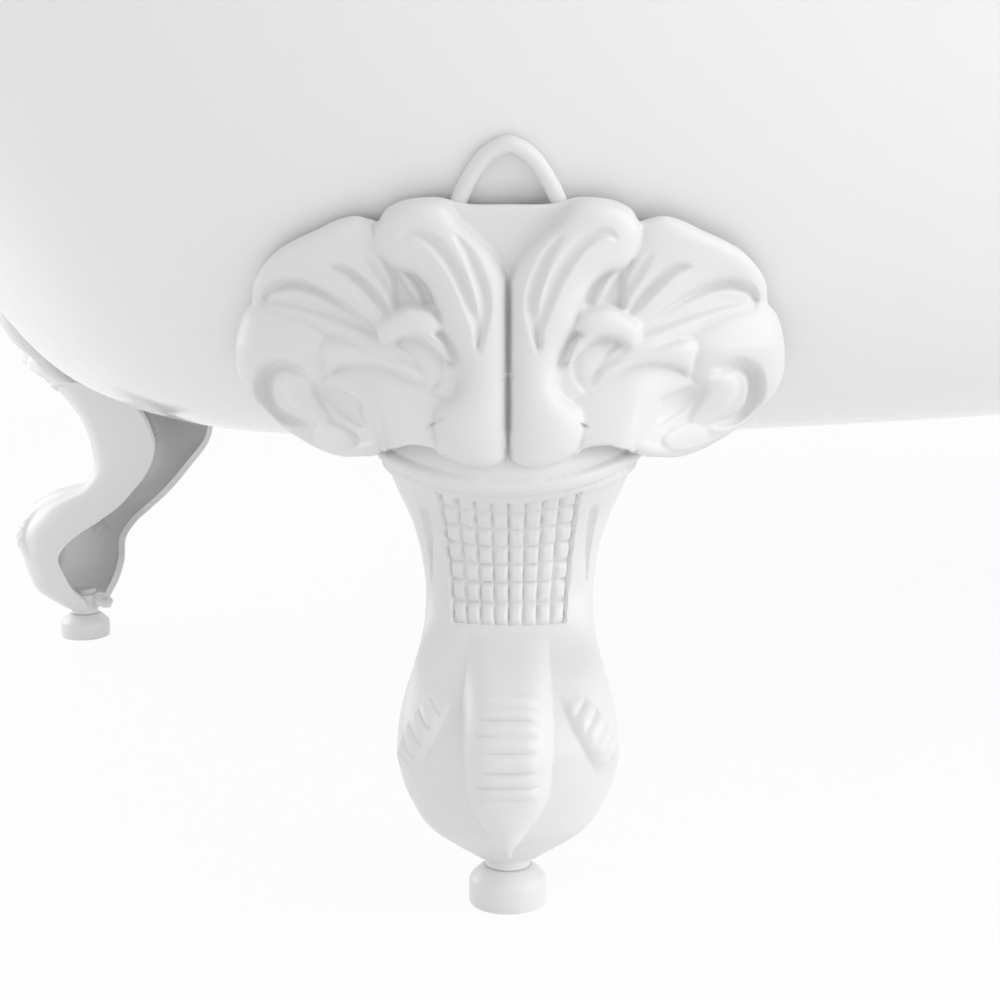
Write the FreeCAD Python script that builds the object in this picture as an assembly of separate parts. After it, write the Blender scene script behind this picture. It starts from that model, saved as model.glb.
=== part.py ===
import FreeCAD, Part
import os
from collections import namedtuple
from math import acos, atan2, cos, degrees, pi, radians, sin, tan

# A double-skinned roll top bathtub on four hollow cast claw feet, with screw levellers and a pop-up waste.
# Millimetres and degrees. The origin is on the floor under the middle of the bath, +X along it, +Z up.

V = FreeCAD.Vector
UP = V(0, 0, 1)

# Outside of the bath
BASE_HEIGHT = 135.0
RIM_HEIGHT = 610.0
SIDE_FLAT = 150.0
SIDE_RADIUS = 160.0
SIDE_LEAN = 8.0
END_FLAT = 500.0
END_RADIUS = 88.0
END_LEAN = 35.0
END_LEAN_AT_RIM = 29.0
PLAN_SQUARENESS = 2.5

# Skins and rim
OUTER_SKIN = 4.0
BASIN_WALL = 5.0
BASIN_INSET = 40.0
ROLL_RADIUS = 25.0
ROLL_START = 160.0
ROLL_END = -50.0
FLARE_HEIGHT = 60.0
BOND_GAP = 0.5
SEAT_GAP = 0.3

# Reinforcement
BOARD_THICKNESS = 18.0
BOARD_MARGIN = 20.0
BLOCK_RADIUS = 26.0
BLOCK_DEPTH = 24.0

# Feet, each placed round its corner by FOOT_ANGLE and facing along FOOT_TURN
FOOT_ANGLE = 59.0
FOOT_TURN = 57.0
FOOT_LEVEL = 50.0
FOOT_REACH = 30.0
FOOT_WALL = 4.5
CAVITY_FLOOR = 30.0
CAVITY_DROP = 3.0
CROWN_WALL = 7.0
LOOP_BEAD = 2.6
LOOP_HALF_WIDTH = 16.5
LOOP_FOOT = 80.0
LOOP_RISE = 22.0
PANEL_DEPTH = 1.6
PANEL_TOP = 3.0
PANEL_HEIGHT = 41.0
PANEL_HALF_TOP = 22.5
PANEL_HALF_FOOT = 18.0
COLLAR_HEIGHT = 8.0
COLLAR_TOP = 7.0
COLLAR_STEP = 2.4
SIDE_TOE_TURN = 64.0

# Fixing of each foot
FIXING_RISE = 24.0
FIXING_RADIUS = 4.0
FIXING_GAP = 0.08
FIXING_LENGTH = 40.0
LUG_THICKNESS = 6.0
LUG_LENGTH = 40.0
WASHER_RADIUS = 10.0
WASHER_THICKNESS = 1.6
NUT_ACROSS_FLATS = 13.0
NUT_HEIGHT = 6.5
HOLE_EASE = 0.5

# Levellers
PAD_RADIUS = 12.5
PAD_RIM = 8.0
PAD_DOME = 4.5
PAD_TOP_RADIUS = 7.5
LEVELLER_RADIUS = 6.0
LEVELLER_LENGTH = 20.0
LEVELLER_SINK = 7.0
LEVELLER_GAP = 0.08
BOSS_RADIUS = 9.5
BOSS_TOP = 23.0
NECK_HEIGHT = 3.0
NECK_RADIUS = 7.6
TAB_RADIUS = 4.5
TAB_HOLE = 2.0
TAB_THICKNESS = 3.0

# Waste
WASTE_Y = 60.0
FLANGE_RADIUS = 35.0
FLANGE_THICKNESS = 3.0
FLANGE_BORE = 20.0
SPIGOT_RADIUS = 24.5
SPIGOT_LENGTH = 26.0
THREAD_GAP = 0.08
WASTE_SEAL_RADIUS = 40.0
WASTE_SEAL_THICKNESS = 4.0
BODY_FLANGE_THICKNESS = 4.0
BODY_WALL = 4.0
BODY_DEPTH = 42.0
OUTLET_RADIUS = 23.9
OUTLET_BORE = 20.0
OUTLET_LENGTH = 20.0
ACCESS_RADIUS = 62.0
BRIDGE_WIDTH = 6.0
BRIDGE_DEPTH = 5.0
PLUG_RADIUS = 28.0
PLUG_THICKNESS = 3.5
PLUG_DOME = 2.5
PLUG_STEM_RADIUS = 4.0
PLUG_STEM_LENGTH = 44.0
STEM_GAP = 0.08

# Overflow
OVERFLOW_MARGIN = 12.0
OVERFLOW_HOLE = 26.0
OVERFLOW_SEAL_THICKNESS = 3.0
OVERFLOW_BODY_RADIUS = 31.0
OVERFLOW_BODY_DEPTH = 18.0
OVERFLOW_BODY_WALL = 3.0
BEZEL_RADIUS = 38.0
BEZEL_THICKNESS = 5.0
BEZEL_GAP = 0.8
BEZEL_COLLAR = 22.0
BEZEL_SLOTS = 8
BEZEL_SLOT_CIRCLE = 13.0
BEZEL_SLOT_RADIUS = 2.0
KNOB_RADIUS = 30.0
KNOB_DEPTH = 16.0
KNOB_STAND = 6.0
SPINDLE_RADIUS = 5.0
SPINDLE_LENGTH = 14.0
SPINDLE_GAP = 0.08
PIPE_RADIUS = 9.0
PIPE_WALL = 1.5
SOCKET_WALL = 2.0
SOCKET_GAP = 0.08
SOCKET_DEPTH = 16.0

# Worked out from the sizes above
ROLL_Z = RIM_HEIGHT - ROLL_RADIUS
FLOOR_Z = BASE_HEIGHT + BASIN_INSET
FLOOR_UNDER_Z = FLOOR_Z - BASIN_WALL
PAD_TOP_Z = PAD_RIM + PAD_DOME
NECK_Z = PAD_TOP_Z + SEAT_GAP

# Levels of the leg from ball to neck: height, front reach, place and size of the half width, back reach and
# half opening
LegLevel = namedtuple("LegLevel", "z front widest_at half_width back half_opening")
BALL_LEVELS = [
    LegLevel(16.0, 8.0, 1.0, 10.0, -8.0, 8.0),
    LegLevel(20.0, 13.0, 0.0, 16.5, -9.0, 10.0),
    LegLevel(27.0, 20.0, 2.0, 24.0, -8.5, 18.0),
    LegLevel(36.0, 23.0, 1.0, 29.5, -8.0, 24.0),
    LegLevel(48.0, 25.0, 1.0, 33.0, -7.0, 27.5),
    LegLevel(58.0, 25.0, 0.5, 33.0, -16.0, 25.5),
    LegLevel(67.0, 18.0, -5.0, 31.5, -29.0, 21.5),
    LegLevel(75.0, 7.5, -12.0, 29.5, -40.0, 19.5),
    LegLevel(82.0, -10.0, -26.0, 27.8, -47.5, 19.5),
    LegLevel(91.0, -19.0, -36.0, 27.0, -56.0, 19.5),
    LegLevel(104.0, -20.0, -38.0, 27.8, -65.0, 23.5),
]
# The same for the neck, with heights above the bath's underside
NECK_LEVELS = [
    LegLevel(-17.0, -15.0, -36.0, 30.8, -65.0, 28.5),
    LegLevel(-5.0, -8.0, -34.0, 35.0, -62.0, 33.5),
    LegLevel(8.0, 1.0, -32.0, 39.0, -66.0, 38.0),
    LegLevel(30.0, -2.0, -32.0, 40.5, -84.0, 40.0),
    LegLevel(52.0, -6.0, -32.0, 40.5, -84.0, 40.0),
]
# Levels of the leafed crown, with heights above the bath's underside
CrownLevel = namedtuple("CrownLevel", "z half_width front edge")
CROWN_LEVELS = [
    CrownLevel(6.0, 42.0, 1.0, -19.0),
    CrownLevel(10.0, 53.0, 2.0, -22.0),
    CrownLevel(16.0, 64.0, 3.0, -25.0),
    CrownLevel(25.0, 77.5, 4.0, -27.0),
    CrownLevel(36.0, 84.5, 5.0, -28.0),
    CrownLevel(46.0, 83.5, 5.5, -27.0),
    CrownLevel(57.0, 79.0, 6.5, -24.0),
    CrownLevel(67.0, 75.0, 8.0, -19.0),
    CrownLevel(76.0, 64.5, 9.5, -12.0),
    CrownLevel(82.0, 46.5, 10.0, -5.0),
    CrownLevel(86.0, 31.0, 9.5, 1.0),
]
# Stations of a toe from ankle to claw tip: outward reach, height, half width, half thickness
ToeStation = namedtuple("ToeStation", "reach z half_width half_thickness")
TOE_STATIONS = [
    ToeStation(-20.0, 91.0, 9.0, 3.5),
    ToeStation(-8.0, 84.0, 11.0, 4.5),
    ToeStation(8.0, 77.0, 13.0, 5.0),
    ToeStation(21.0, 66.0, 13.5, 5.5),
    ToeStation(26.0, 50.0, 12.5, 5.5),
    ToeStation(22.5, 35.0, 8.0, 4.5),
    ToeStation(15.0, 24.0, 2.5, 2.0),
]
SIDE_TOE_STATIONS = [
    ToeStation(15.0, 72.0, 5.0, 2.5),
    ToeStation(25.0, 67.0, 8.0, 4.0),
    ToeStation(32.0, 58.0, 10.0, 5.5),
    ToeStation(34.0, 48.0, 10.5, 5.5),
    ToeStation(30.0, 35.0, 8.0, 4.5),
    ToeStation(22.0, 25.0, 2.5, 2.0),
]
# Swellings of the crown: sideways place, height above the bath's underside, reach, half width, half height
Lobe = namedtuple("Lobe", "x z reach half_width half_height half_depth")
CROWN_LOBES = [
    Lobe(48.0, 70.0, -4.0, 16.0, 15.0, 10.0),
    Lobe(68.0, 57.0, -16.0, 14.0, 15.0, 9.0),
    Lobe(74.5, 38.0, -21.0, 13.0, 15.0, 9.0),
]
# Profile of the collar's two bands: share of its height, share of its step
COLLAR_PROFILE = [(0.0, 0.2), (0.25, 0.7), (0.5, 0.4), (0.75, 1.0), (1.0, 0.5)]
# Stem that turns over into the inner leaf: its middle line, sideways and above the bath's underside
STEM_RADIUS = 10.0
STEM_REACH = 3.0
STEM_LINE = [(11.0, 7.0), (11.0, 58.0), (30.0, 74.0)]
# Volute: sideways place, height above the bath's underside, reach, ring and bead radius
VOLUTE_X = 59.0
VOLUTE_Z = 30.0
VOLUTE_REACH = -12.0
VOLUTE_RING = 14.0
VOLUTE_BEAD = 5.0
VOLUTE_TURN = 0.35
VOLUTE_DIP = 0.25
# How far the crown's hollow runs back past its edge
HOLLOW_DEPTH = 40.0

# How finely the smooth outlines are interpolated
RING_POINTS = 48
HULL_RINGS = 15
RING_CROWDING = 2.2
WALL_RINGS = 16
FLARE_RINGS = 3
ROLL_STEP = 30.0


def reach_at(height, flat, radius, lean, bow):
    """Half size of the hull at a height above its underside: a flat, an arc and a leaning, bowed wall."""
    turn = pi / 2 - lean
    arc_height = radius * (1 - cos(turn))
    if height <= arc_height:
        return flat + radius * sin(acos(1 - height / radius))
    climb = height - arc_height
    return flat + radius * sin(turn) + climb * tan(lean) - bow * climb**2


def end_bow():
    """How quickly the end wall steepens, from the leans at its foot and at the rim."""
    lean = radians(END_LEAN)
    climb = ROLL_Z - BASE_HEIGHT - END_RADIUS * (1 - sin(lean))
    return (tan(lean) - tan(radians(END_LEAN_AT_RIM))) / (2 * climb)


def hull_axes(z, inset):
    """Half length and half width at a height of the surface that lies an inset inside the bath's outside."""
    height = max(z - BASE_HEIGHT - inset, 0.0)
    length = reach_at(height, END_FLAT, END_RADIUS - inset, radians(END_LEAN), end_bow())
    width = reach_at(height, SIDE_FLAT, SIDE_RADIUS - inset, radians(SIDE_LEAN), 0.0)
    return length, width


def even_steps(count):
    """Evenly spaced parameters, so that every outline of a loft shares the same knots."""
    return [step / count for step in range(count + 1)]


def ring(half_length, half_width, z):
    """Closed smooth outline at one height, between an ellipse and a rectangle."""
    power = 2 / PLAN_SQUARENESS
    points = []
    for step in range(RING_POINTS):
        turn = 2 * pi * step / RING_POINTS
        c = cos(turn)
        s = sin(turn)
        x = half_length * abs(c) ** power * (1 if c > 0 else -1)
        y = half_width * abs(s) ** power * (1 if s > 0 else -1)
        points.append(V(x, y, z))
    curve = Part.BSplineCurve()
    curve.interpolate(Points=points, PeriodicFlag=True, Parameters=even_steps(RING_POINTS))
    return Part.Wire([curve.toShape()])


def crowded(low, high, count):
    """Heights from low to high, closer together near the low end."""
    return [low + (high - low) * (step / count) ** RING_CROWDING for step in range(count + 1)]


def hull(inset, top):
    """Solid inside the surface that lies an inset inside the bath's outside, up to a height."""
    heights = crowded(BASE_HEIGHT + inset, top, HULL_RINGS)
    return Part.makeLoft([ring(*hull_axes(z, inset), z) for z in heights], True)


def basin_rings(inset, roll_radius):
    """Outlines of one face of the basin, from its floor up the wall and over the rolled rim."""
    floor = BASE_HEIGHT + inset
    flare_z = ROLL_Z - FLARE_HEIGHT
    rings = [ring(*hull_axes(z, inset), z) for z in crowded(floor, flare_z, WALL_RINGS)]
    centre = hull_axes(ROLL_Z, 0)
    start = radians(ROLL_START)
    roll_foot = ROLL_Z + roll_radius * sin(start)
    roll_axes = [size + roll_radius * cos(start) for size in centre]
    for step in range(1, FLARE_RINGS + 1):
        share = step / (FLARE_RINGS + 1)
        z = flare_z + (roll_foot - flare_z) * share
        blend = share**2 * (3 - 2 * share)
        wall = hull_axes(z, inset)
        end = hull_axes(roll_foot, inset)
        sizes = [wall[k] + (roll_axes[k] - end[k]) * blend for k in range(2)]
        rings.append(ring(*sizes, z))
    turns = round((ROLL_START - ROLL_END) / ROLL_STEP)
    for step in range(turns + 1):
        turn = radians(ROLL_START + (ROLL_END - ROLL_START) * step / turns)
        sizes = [size + roll_radius * cos(turn) for size in centre]
        rings.append(ring(*sizes, ROLL_Z + roll_radius * sin(turn)))
    return rings


def basin():
    """Basin and rolled rim as one sheet of even thickness."""
    wet = basin_rings(BASIN_INSET, ROLL_RADIUS)
    under = basin_rings(BASIN_INSET - BASIN_WALL, ROLL_RADIUS - BASIN_WALL)
    faces = Part.makeLoft(wet).Faces + Part.makeLoft(under).Faces
    faces += [Part.Face(wet[0]), Part.Face(under[0])]
    faces.append(Part.makeRuledSurface(wet[-1].Edges[0], under[-1].Edges[0]))
    shell = Part.Shell(Part.makeCompound(faces).Faces)
    shell.sewShape()
    solid = Part.Solid(shell)
    if solid.Volume < 0:
        solid.reverse()
    return solid


def cylinder(radius, length, start, axis=UP):
    """Cylinder from a start point along an axis."""
    return Part.makeCylinder(radius, length, start, axis)


def tube(outer, inner, length, start, axis=UP):
    """Straight tube from a start point along an axis."""
    return cylinder(outer, length, start, axis).cut(cylinder(inner, length, start, axis))


def hexagon(across_flats, length, start, axis):
    """Hexagonal prism from a start point along an axis."""
    corner = across_flats / 2 / cos(pi / 6)
    points = [V(corner * cos(pi / 3 * k), corner * sin(pi / 3 * k), 0) for k in range(7)]
    prism = Part.Face(Part.makePolygon(points)).extrude(V(0, 0, length))
    prism.Placement = FreeCAD.Placement(start, FreeCAD.Rotation(UP, axis))
    return prism


def plan_point(z, angle):
    """Point of the bath's outline at a height where the outline faces an angle in plan."""
    a, b = hull_axes(z, 0)
    n = PLAN_SQUARENESS
    along = a * cos(angle)
    across = b * sin(angle)
    scale = (along ** (n / (n - 1)) + across ** (n / (n - 1))) ** (1 / n)
    return V(a * along ** (1 / (n - 1)) / scale, b * across ** (1 / (n - 1)) / scale, z)


FACING = radians(FOOT_ANGLE)
OUTWARD = V(cos(FACING), sin(FACING), 0)
FOOT_CENTRE = plan_point(BASE_HEIGHT + FOOT_LEVEL, FACING) + OUTWARD * FOOT_REACH
FOOT_CENTRE.z = 0
FOOT_PLACE = FreeCAD.Placement(FOOT_CENTRE, FreeCAD.Rotation(UP, FOOT_TURN - 90))


def hull_reach(x, z):
    """Outward reach of the bath's outside in a foot's own frame, at a sideways place and a height."""
    a, b = hull_axes(z, 0)
    low = -FOOT_CENTRE.Length
    high = FOOT_CENTRE.Length
    for _ in range(60):
        middle = (low + high) / 2
        point = FOOT_PLACE.multVec(V(x, middle, z))
        inside = abs(point.x / a) ** PLAN_SQUARENESS + abs(point.y / b) ** PLAN_SQUARENESS < 1
        low, high = (middle, high) if inside else (low, middle)
    return low


def fixing_axis():
    """Seat of a foot's fixing on the bath's outside and the outward normal there, in the foot's own frame."""
    z = BASE_HEIGHT + FIXING_RISE
    step = 0.5
    rise = (hull_reach(0, z + step) - hull_reach(0, z - step)) / (2 * step)
    normal = V(0, 1, -rise)
    normal.normalize()
    return V(0, hull_reach(0, z), z), normal


def front_curve(points):
    """Smooth open edge through points of one level."""
    curve = Part.BSplineCurve()
    curve.interpolate(Points=points, Parameters=even_steps(len(points) - 1))
    return curve.toShape()


def leg_wire(level, z, inset, behind):
    """Outline of the leg at one level: a rounded front and sides, closed by a straight back."""
    width = level.half_width - inset
    front = level.front - inset
    opening = level.half_opening - inset
    back = level.back - behind
    shoulder = level.widest_at + (front - level.widest_at) * sin(pi / 4)
    half = [V(opening, back, z), V(width, level.widest_at, z), V(width * cos(pi / 4), shoulder, z)]
    mirrored = [V(-p.x, p.y, p.z) for p in reversed(half)]
    edge = front_curve(half + [V(0, front, z)] + mirrored)
    return Part.Wire([edge, Part.makeLine(mirrored[-1], half[0])])


def leg_levels():
    """Every level of the leg with its height above the floor."""
    upper = [(level, BASE_HEIGHT + level.z) for level in NECK_LEVELS]
    return [(level, level.z) for level in BALL_LEVELS] + upper


def leg():
    """Outside of the ball, ankle and neck."""
    return Part.makeLoft([leg_wire(level, z, 0, 0) for level, z in leg_levels()], True)


def leg_core(inset):
    """The leg drawn in all round by an inset, for the recessed panel."""
    return Part.makeLoft([leg_wire(level, z, inset, 0) for level, z in leg_levels()], True)


def leg_cavity():
    """Hollow of the leg, open at the back."""
    wires = []
    for level, z in leg_levels():
        if z - CAVITY_DROP >= CAVITY_FLOOR:
            wires.append(leg_wire(level, z - CAVITY_DROP, FOOT_WALL, 2 * FOOT_WALL))
    top, z = leg_levels()[-1]
    wires.append(leg_wire(top, z + FOOT_WALL, FOOT_WALL, 2 * FOOT_WALL))
    return Part.makeLoft(wires, True)


def crown_wire(level, z, inset, behind):
    """Outline of the crown at one level: a bulged front closed by a straight back."""
    width = level.half_width - inset
    front = level.front - inset
    edge = level.edge - behind
    turns = [radians(angle) for angle in (90, 60, 30, 0, -30, -60, -90)]
    points = [V(width * sin(turn), edge + (front - edge) * cos(turn), z) for turn in turns]
    return Part.Wire([front_curve(points), Part.makeLine(points[-1], points[0])])


def crown():
    """Leafed crown: a bulged plate with stems, volutes and lobes, hollow behind."""
    levels = [(level, BASE_HEIGHT + level.z) for level in CROWN_LEVELS]
    shape = Part.makeLoft([crown_wire(level, z, 0, 0) for level, z in levels], True)
    for side in (1, -1):
        centre = V(side * VOLUTE_X, VOLUTE_REACH, BASE_HEIGHT + VOLUTE_Z)
        volute = Part.makeTorus(VOLUTE_RING, VOLUTE_BEAD, centre, V(side * VOLUTE_TURN, 1, -VOLUTE_DIP))
        for piece in [stem(side), volute] + [ellipsoid(lobe, side) for lobe in CROWN_LOBES]:
            shape = shape.fuse(piece)
    top = levels[-1][1] - CROWN_WALL
    inner = [(level, z + CROWN_WALL) for level, z in levels if z + CROWN_WALL < top]
    wires = [crown_wire(level, z, CROWN_WALL, HOLLOW_DEPTH) for level, z in inner]
    return shape.cut(Part.makeLoft(wires, True))


def stem(side):
    """Half-round stem that rises from the collar and turns outward at the top."""
    points = [V(side * x, STEM_REACH, BASE_HEIGHT + rise) for x, rise in STEM_LINE]
    shape = Part.makeSphere(STEM_RADIUS, points[-1])
    for start, end in zip(points, points[1:]):
        run = end - start
        shape = shape.fuse(cylinder(STEM_RADIUS, run.Length, start, run))
    return shape.fuse(Part.makeSphere(STEM_RADIUS, points[1]))


def ellipsoid(lobe, side):
    """One swelling of the crown."""
    ball = Part.makeSphere(1.0)
    scale = FreeCAD.Matrix()
    scale.scale(lobe.half_width, lobe.half_depth, lobe.half_height)
    shape = ball.transformGeometry(scale)
    shape.translate(V(side * lobe.x, lobe.reach, BASE_HEIGHT + lobe.z))
    return shape


def toe(stations, turn):
    """One toe from the ankle over the ball to its claw, turned about the foot's axis."""
    wires = []
    for index, station in enumerate(stations):
        before = stations[max(index - 1, 0)]
        after = stations[min(index + 1, len(stations) - 1)]
        slope = V(0, after.reach - before.reach, after.z - before.z)
        ellipse = Part.Ellipse(V(0, 0, 0), station.half_width, station.half_thickness)
        wire = Part.Wire([ellipse.toShape()])
        tilt = FreeCAD.Rotation(V(1, 0, 0), degrees(atan2(slope.z, slope.y)) - 90)
        wire.Placement = FreeCAD.Placement(V(0, station.reach, station.z), tilt)
        wires.append(wire)
    shape = Part.makeLoft(wires, True)
    shape.rotate(V(0, 0, 0), UP, turn)
    return shape


def collar():
    """Two-band moulding where the neck meets the crown."""
    lower = NECK_LEVELS[1]
    upper = NECK_LEVELS[2]
    wires = []
    for share, swell in COLLAR_PROFILE:
        rise = COLLAR_TOP - COLLAR_HEIGHT * (1 - share)
        blend = (rise - lower.z) / (upper.z - lower.z)
        level = LegLevel(*[low + (high - low) * blend for low, high in zip(lower, upper)])
        wires.append(leg_wire(level, BASE_HEIGHT + rise, -swell * COLLAR_STEP, -COLLAR_STEP))
    return Part.makeLoft(wires, True)


def loop():
    """Pointed arch of slim bead above the crown, following the bath's outside."""
    foot = BASE_HEIGHT + LOOP_FOOT
    marks = [(-1.0, 0.0), (-0.82, 0.5), (-0.42, 0.86), (0.0, 1.0), (0.42, 0.86), (0.82, 0.5), (1.0, 0.0)]
    points = []
    for across, rise in marks:
        x = across * LOOP_HALF_WIDTH
        z = foot + rise * LOOP_RISE
        points.append(V(x, hull_reach(x, z) + LOOP_BEAD, z))
    spine = Part.BSplineCurve()
    spine.interpolate(points)
    circle = Part.Circle(points[0], spine.tangent(spine.FirstParameter)[0], LOOP_BEAD)
    bead = Part.Wire([circle.toShape()])
    return Part.Wire([spine.toShape()]).makePipeShell([bead], True, False)


def panel_cut(body):
    """Shallow recess of the ankle's squared panel."""
    top = BASE_HEIGHT - PANEL_TOP
    foot = top - PANEL_HEIGHT
    corners = [(-PANEL_HALF_TOP, top), (PANEL_HALF_TOP, top), (PANEL_HALF_FOOT, foot), (-PANEL_HALF_FOOT, foot)]
    points = [V(x, BALL_LEVELS[-1].widest_at, z) for x, z in corners]
    prism = Part.Face(Part.makePolygon(points + points[:1])).extrude(V(0, SIDE_RADIUS, 0))
    return prism.common(body).cut(leg_core(PANEL_DEPTH))


def fixing_box(seat, normal):
    """Slab of the fixing lug, square to the bath's outside at the fixing."""
    width = 2 * NECK_LEVELS[-1].half_width
    slab = Part.makeBox(width, LUG_LENGTH, LUG_THICKNESS, V(-width / 2, -LUG_LENGTH / 2, 0))
    slab.Placement = FreeCAD.Placement(seat, FreeCAD.Rotation(V(1, 0, 0), -degrees(acos(normal.z))))
    return slab


def foot():
    """One hollow cast foot in its own frame, before the bath's outside is cut from its back."""
    seat, normal = fixing_axis()
    body = leg()
    lug = fixing_box(seat, normal).common(body)
    shape = body.cut(panel_cut(body))
    toes = [toe(TOE_STATIONS, 0), toe(SIDE_TOE_STATIONS, SIDE_TOE_TURN), toe(SIDE_TOE_STATIONS, -SIDE_TOE_TURN)]
    for piece in [crown(), collar()] + toes:
        shape = shape.fuse(piece)
    shape = shape.cut(leg_cavity())
    neck_foot = LEVELLER_RADIUS + NECK_HEIGHT / 2
    neck = Part.makeCone(neck_foot, NECK_RADIUS + NECK_HEIGHT / 2, NECK_HEIGHT * 2, V(0, 0, NECK_Z))
    boss = cylinder(BOSS_RADIUS, BOSS_TOP - BALL_LEVELS[1].z, V(0, 0, BALL_LEVELS[1].z))
    tab_z = BALL_LEVELS[1].z
    tab = cylinder(TAB_RADIUS, TAB_THICKNESS, V(0, -BOSS_RADIUS - TAB_HOLE, tab_z))
    shape = shape.multiFuse([lug, neck, boss, tab, loop()])
    hole = cylinder(LEVELLER_RADIUS + LEVELLER_GAP, BOSS_TOP + FOOT_WALL, V(0, 0, 0))
    tab_hole = cylinder(TAB_HOLE, 2 * TAB_THICKNESS, V(0, -BOSS_RADIUS - TAB_HOLE, tab_z - TAB_THICKNESS / 2))
    fixing_hole = cylinder(FIXING_RADIUS + HOLE_EASE, 3 * LUG_THICKNESS, seat - normal * LUG_THICKNESS, normal)
    return shape.cut(Part.makeCompound([hole, tab_hole])).cut(fixing_hole)


def fixing_parts():
    """Solid block, its bore, stud, washer and nut of one foot's fixing, in the foot's own frame."""
    seat, normal = fixing_axis()
    skin_inside = seat - normal * (OUTER_SKIN + SEAT_GAP)
    block = cylinder(BLOCK_RADIUS, BLOCK_DEPTH, skin_inside, normal * -1)
    stud_end = seat + normal * (LUG_THICKNESS + WASHER_THICKNESS + NUT_HEIGHT + FIXING_RADIUS)
    stud = cylinder(FIXING_RADIUS, FIXING_LENGTH, stud_end, normal * -1)
    bore = cylinder(FIXING_RADIUS + FIXING_GAP, FIXING_LENGTH, stud_end, normal * -1)
    washer_foot = seat + normal * LUG_THICKNESS
    washer = cylinder(WASHER_RADIUS, WASHER_THICKNESS, washer_foot, normal).cut(bore)
    nut = hexagon(NUT_ACROSS_FLATS, NUT_HEIGHT, washer_foot + normal * WASHER_THICKNESS, normal).cut(bore)
    return block, bore, stud, washer, nut


def at_corners(shape, trim):
    """A shape of the foot's own frame set at the four corners and trimmed there, as (corner, shape) pairs."""
    for side, opposite, end in (("right", "left", 1), ("left", "right", -1)):
        turn = FreeCAD.Rotation(UP, end * (FOOT_TURN - 90))
        place = FreeCAD.Placement(V(end * FOOT_CENTRE.x, FOOT_CENTRE.y, 0), turn)
        placed = shape.copy()
        placed.Placement = place.multiply(shape.Placement)
        placed = trim(placed)
        yield f"back_{side}", placed
        across = placed.copy()
        across.rotate(V(0, 0, 0), UP, 180)
        yield f"front_{opposite}", across


def untrimmed(shape):
    """The shape as it is."""
    return shape


def group(shape, trim=untrimmed):
    """The four corners' copies of a shape, held as one group of solids."""
    return Part.makeCompound([copy for _, copy in at_corners(shape, trim)])


def leveller_pad():
    """Round pad with a domed top and a socket for the screw's foot."""
    rim = cylinder(PAD_RADIUS, PAD_RIM, V(0, 0, 0))
    dome = Part.makeCone(PAD_RADIUS, PAD_TOP_RADIUS, PAD_DOME, V(0, 0, PAD_RIM))
    socket_z = PAD_TOP_Z - LEVELLER_SINK
    socket = cylinder(LEVELLER_RADIUS + LEVELLER_GAP, LEVELLER_SINK, V(0, 0, socket_z))
    return rim.fuse(dome).cut(socket).removeSplitter()


def leveller_screw():
    """Screw that turns in the foot's boss and stands in the pad's socket."""
    return cylinder(LEVELLER_RADIUS, LEVELLER_LENGTH, V(0, 0, PAD_TOP_Z - LEVELLER_SINK))


def waste_flange():
    """Dished flange and threaded spigot with a bridge that guides the plug's stem."""
    seat = V(0, WASTE_Y, FLOOR_Z)
    flange = Part.makeCone(FLANGE_RADIUS, FLANGE_RADIUS - FLANGE_THICKNESS, FLANGE_THICKNESS, seat)
    spigot = cylinder(SPIGOT_RADIUS, SPIGOT_LENGTH, V(0, WASTE_Y, FLOOR_Z - SPIGOT_LENGTH))
    bore = cylinder(FLANGE_BORE, 2 * SPIGOT_LENGTH, V(0, WASTE_Y, FLOOR_Z - SPIGOT_LENGTH))
    dish = Part.makeCone(FLANGE_BORE, PLUG_RADIUS, FLANGE_THICKNESS, seat)
    foot_z = FLOOR_Z - SPIGOT_LENGTH
    length = 2 * FLANGE_BORE + BODY_WALL
    half = length / 2
    bar = Part.makeBox(length, BRIDGE_WIDTH, BRIDGE_DEPTH, V(-half, WASTE_Y - BRIDGE_WIDTH / 2, foot_z))
    crossing = bar.copy()
    crossing.rotate(seat, UP, 90)
    hub = cylinder(PLUG_STEM_RADIUS + BRIDGE_WIDTH / 2, BRIDGE_DEPTH, V(0, WASTE_Y, foot_z))
    guide = cylinder(PLUG_STEM_RADIUS + STEM_GAP, 2 * BRIDGE_DEPTH, V(0, WASTE_Y, foot_z - BRIDGE_DEPTH / 2))
    return flange.fuse(spigot).cut(bore).cut(dish).multiFuse([bar, crossing, hub]).cut(guide).removeSplitter()


def plug():
    """Pop-up plug with a low dome and a stem."""
    seat_z = FLOOR_Z + FLANGE_THICKNESS + SEAT_GAP
    disc = cylinder(PLUG_RADIUS, PLUG_THICKNESS, V(0, WASTE_Y, seat_z))
    radius = (PLUG_RADIUS**2 + PLUG_DOME**2) / (2 * PLUG_DOME)
    dome_z = seat_z + PLUG_THICKNESS
    ball = Part.makeSphere(radius, V(0, WASTE_Y, dome_z + PLUG_DOME - radius))
    dome = ball.common(cylinder(PLUG_RADIUS, PLUG_DOME, V(0, WASTE_Y, dome_z)))
    stem = cylinder(PLUG_STEM_RADIUS, PLUG_STEM_LENGTH, V(0, WASTE_Y, seat_z - PLUG_STEM_LENGTH))
    return disc.multiFuse([dome, stem]).removeSplitter()


def waste_seal():
    """Rubber ring between the basin's underside and the waste body."""
    foot_z = FLOOR_UNDER_Z - WASTE_SEAL_THICKNESS
    return tube(WASTE_SEAL_RADIUS, SPIGOT_RADIUS + HOLE_EASE, WASTE_SEAL_THICKNESS, V(0, WASTE_Y, foot_z))


def pipe_level():
    """Height of the overflow pipe's run under the floor, midway between the skins."""
    return (BASE_HEIGHT + OUTER_SKIN + FLOOR_UNDER_Z) / 2


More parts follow.
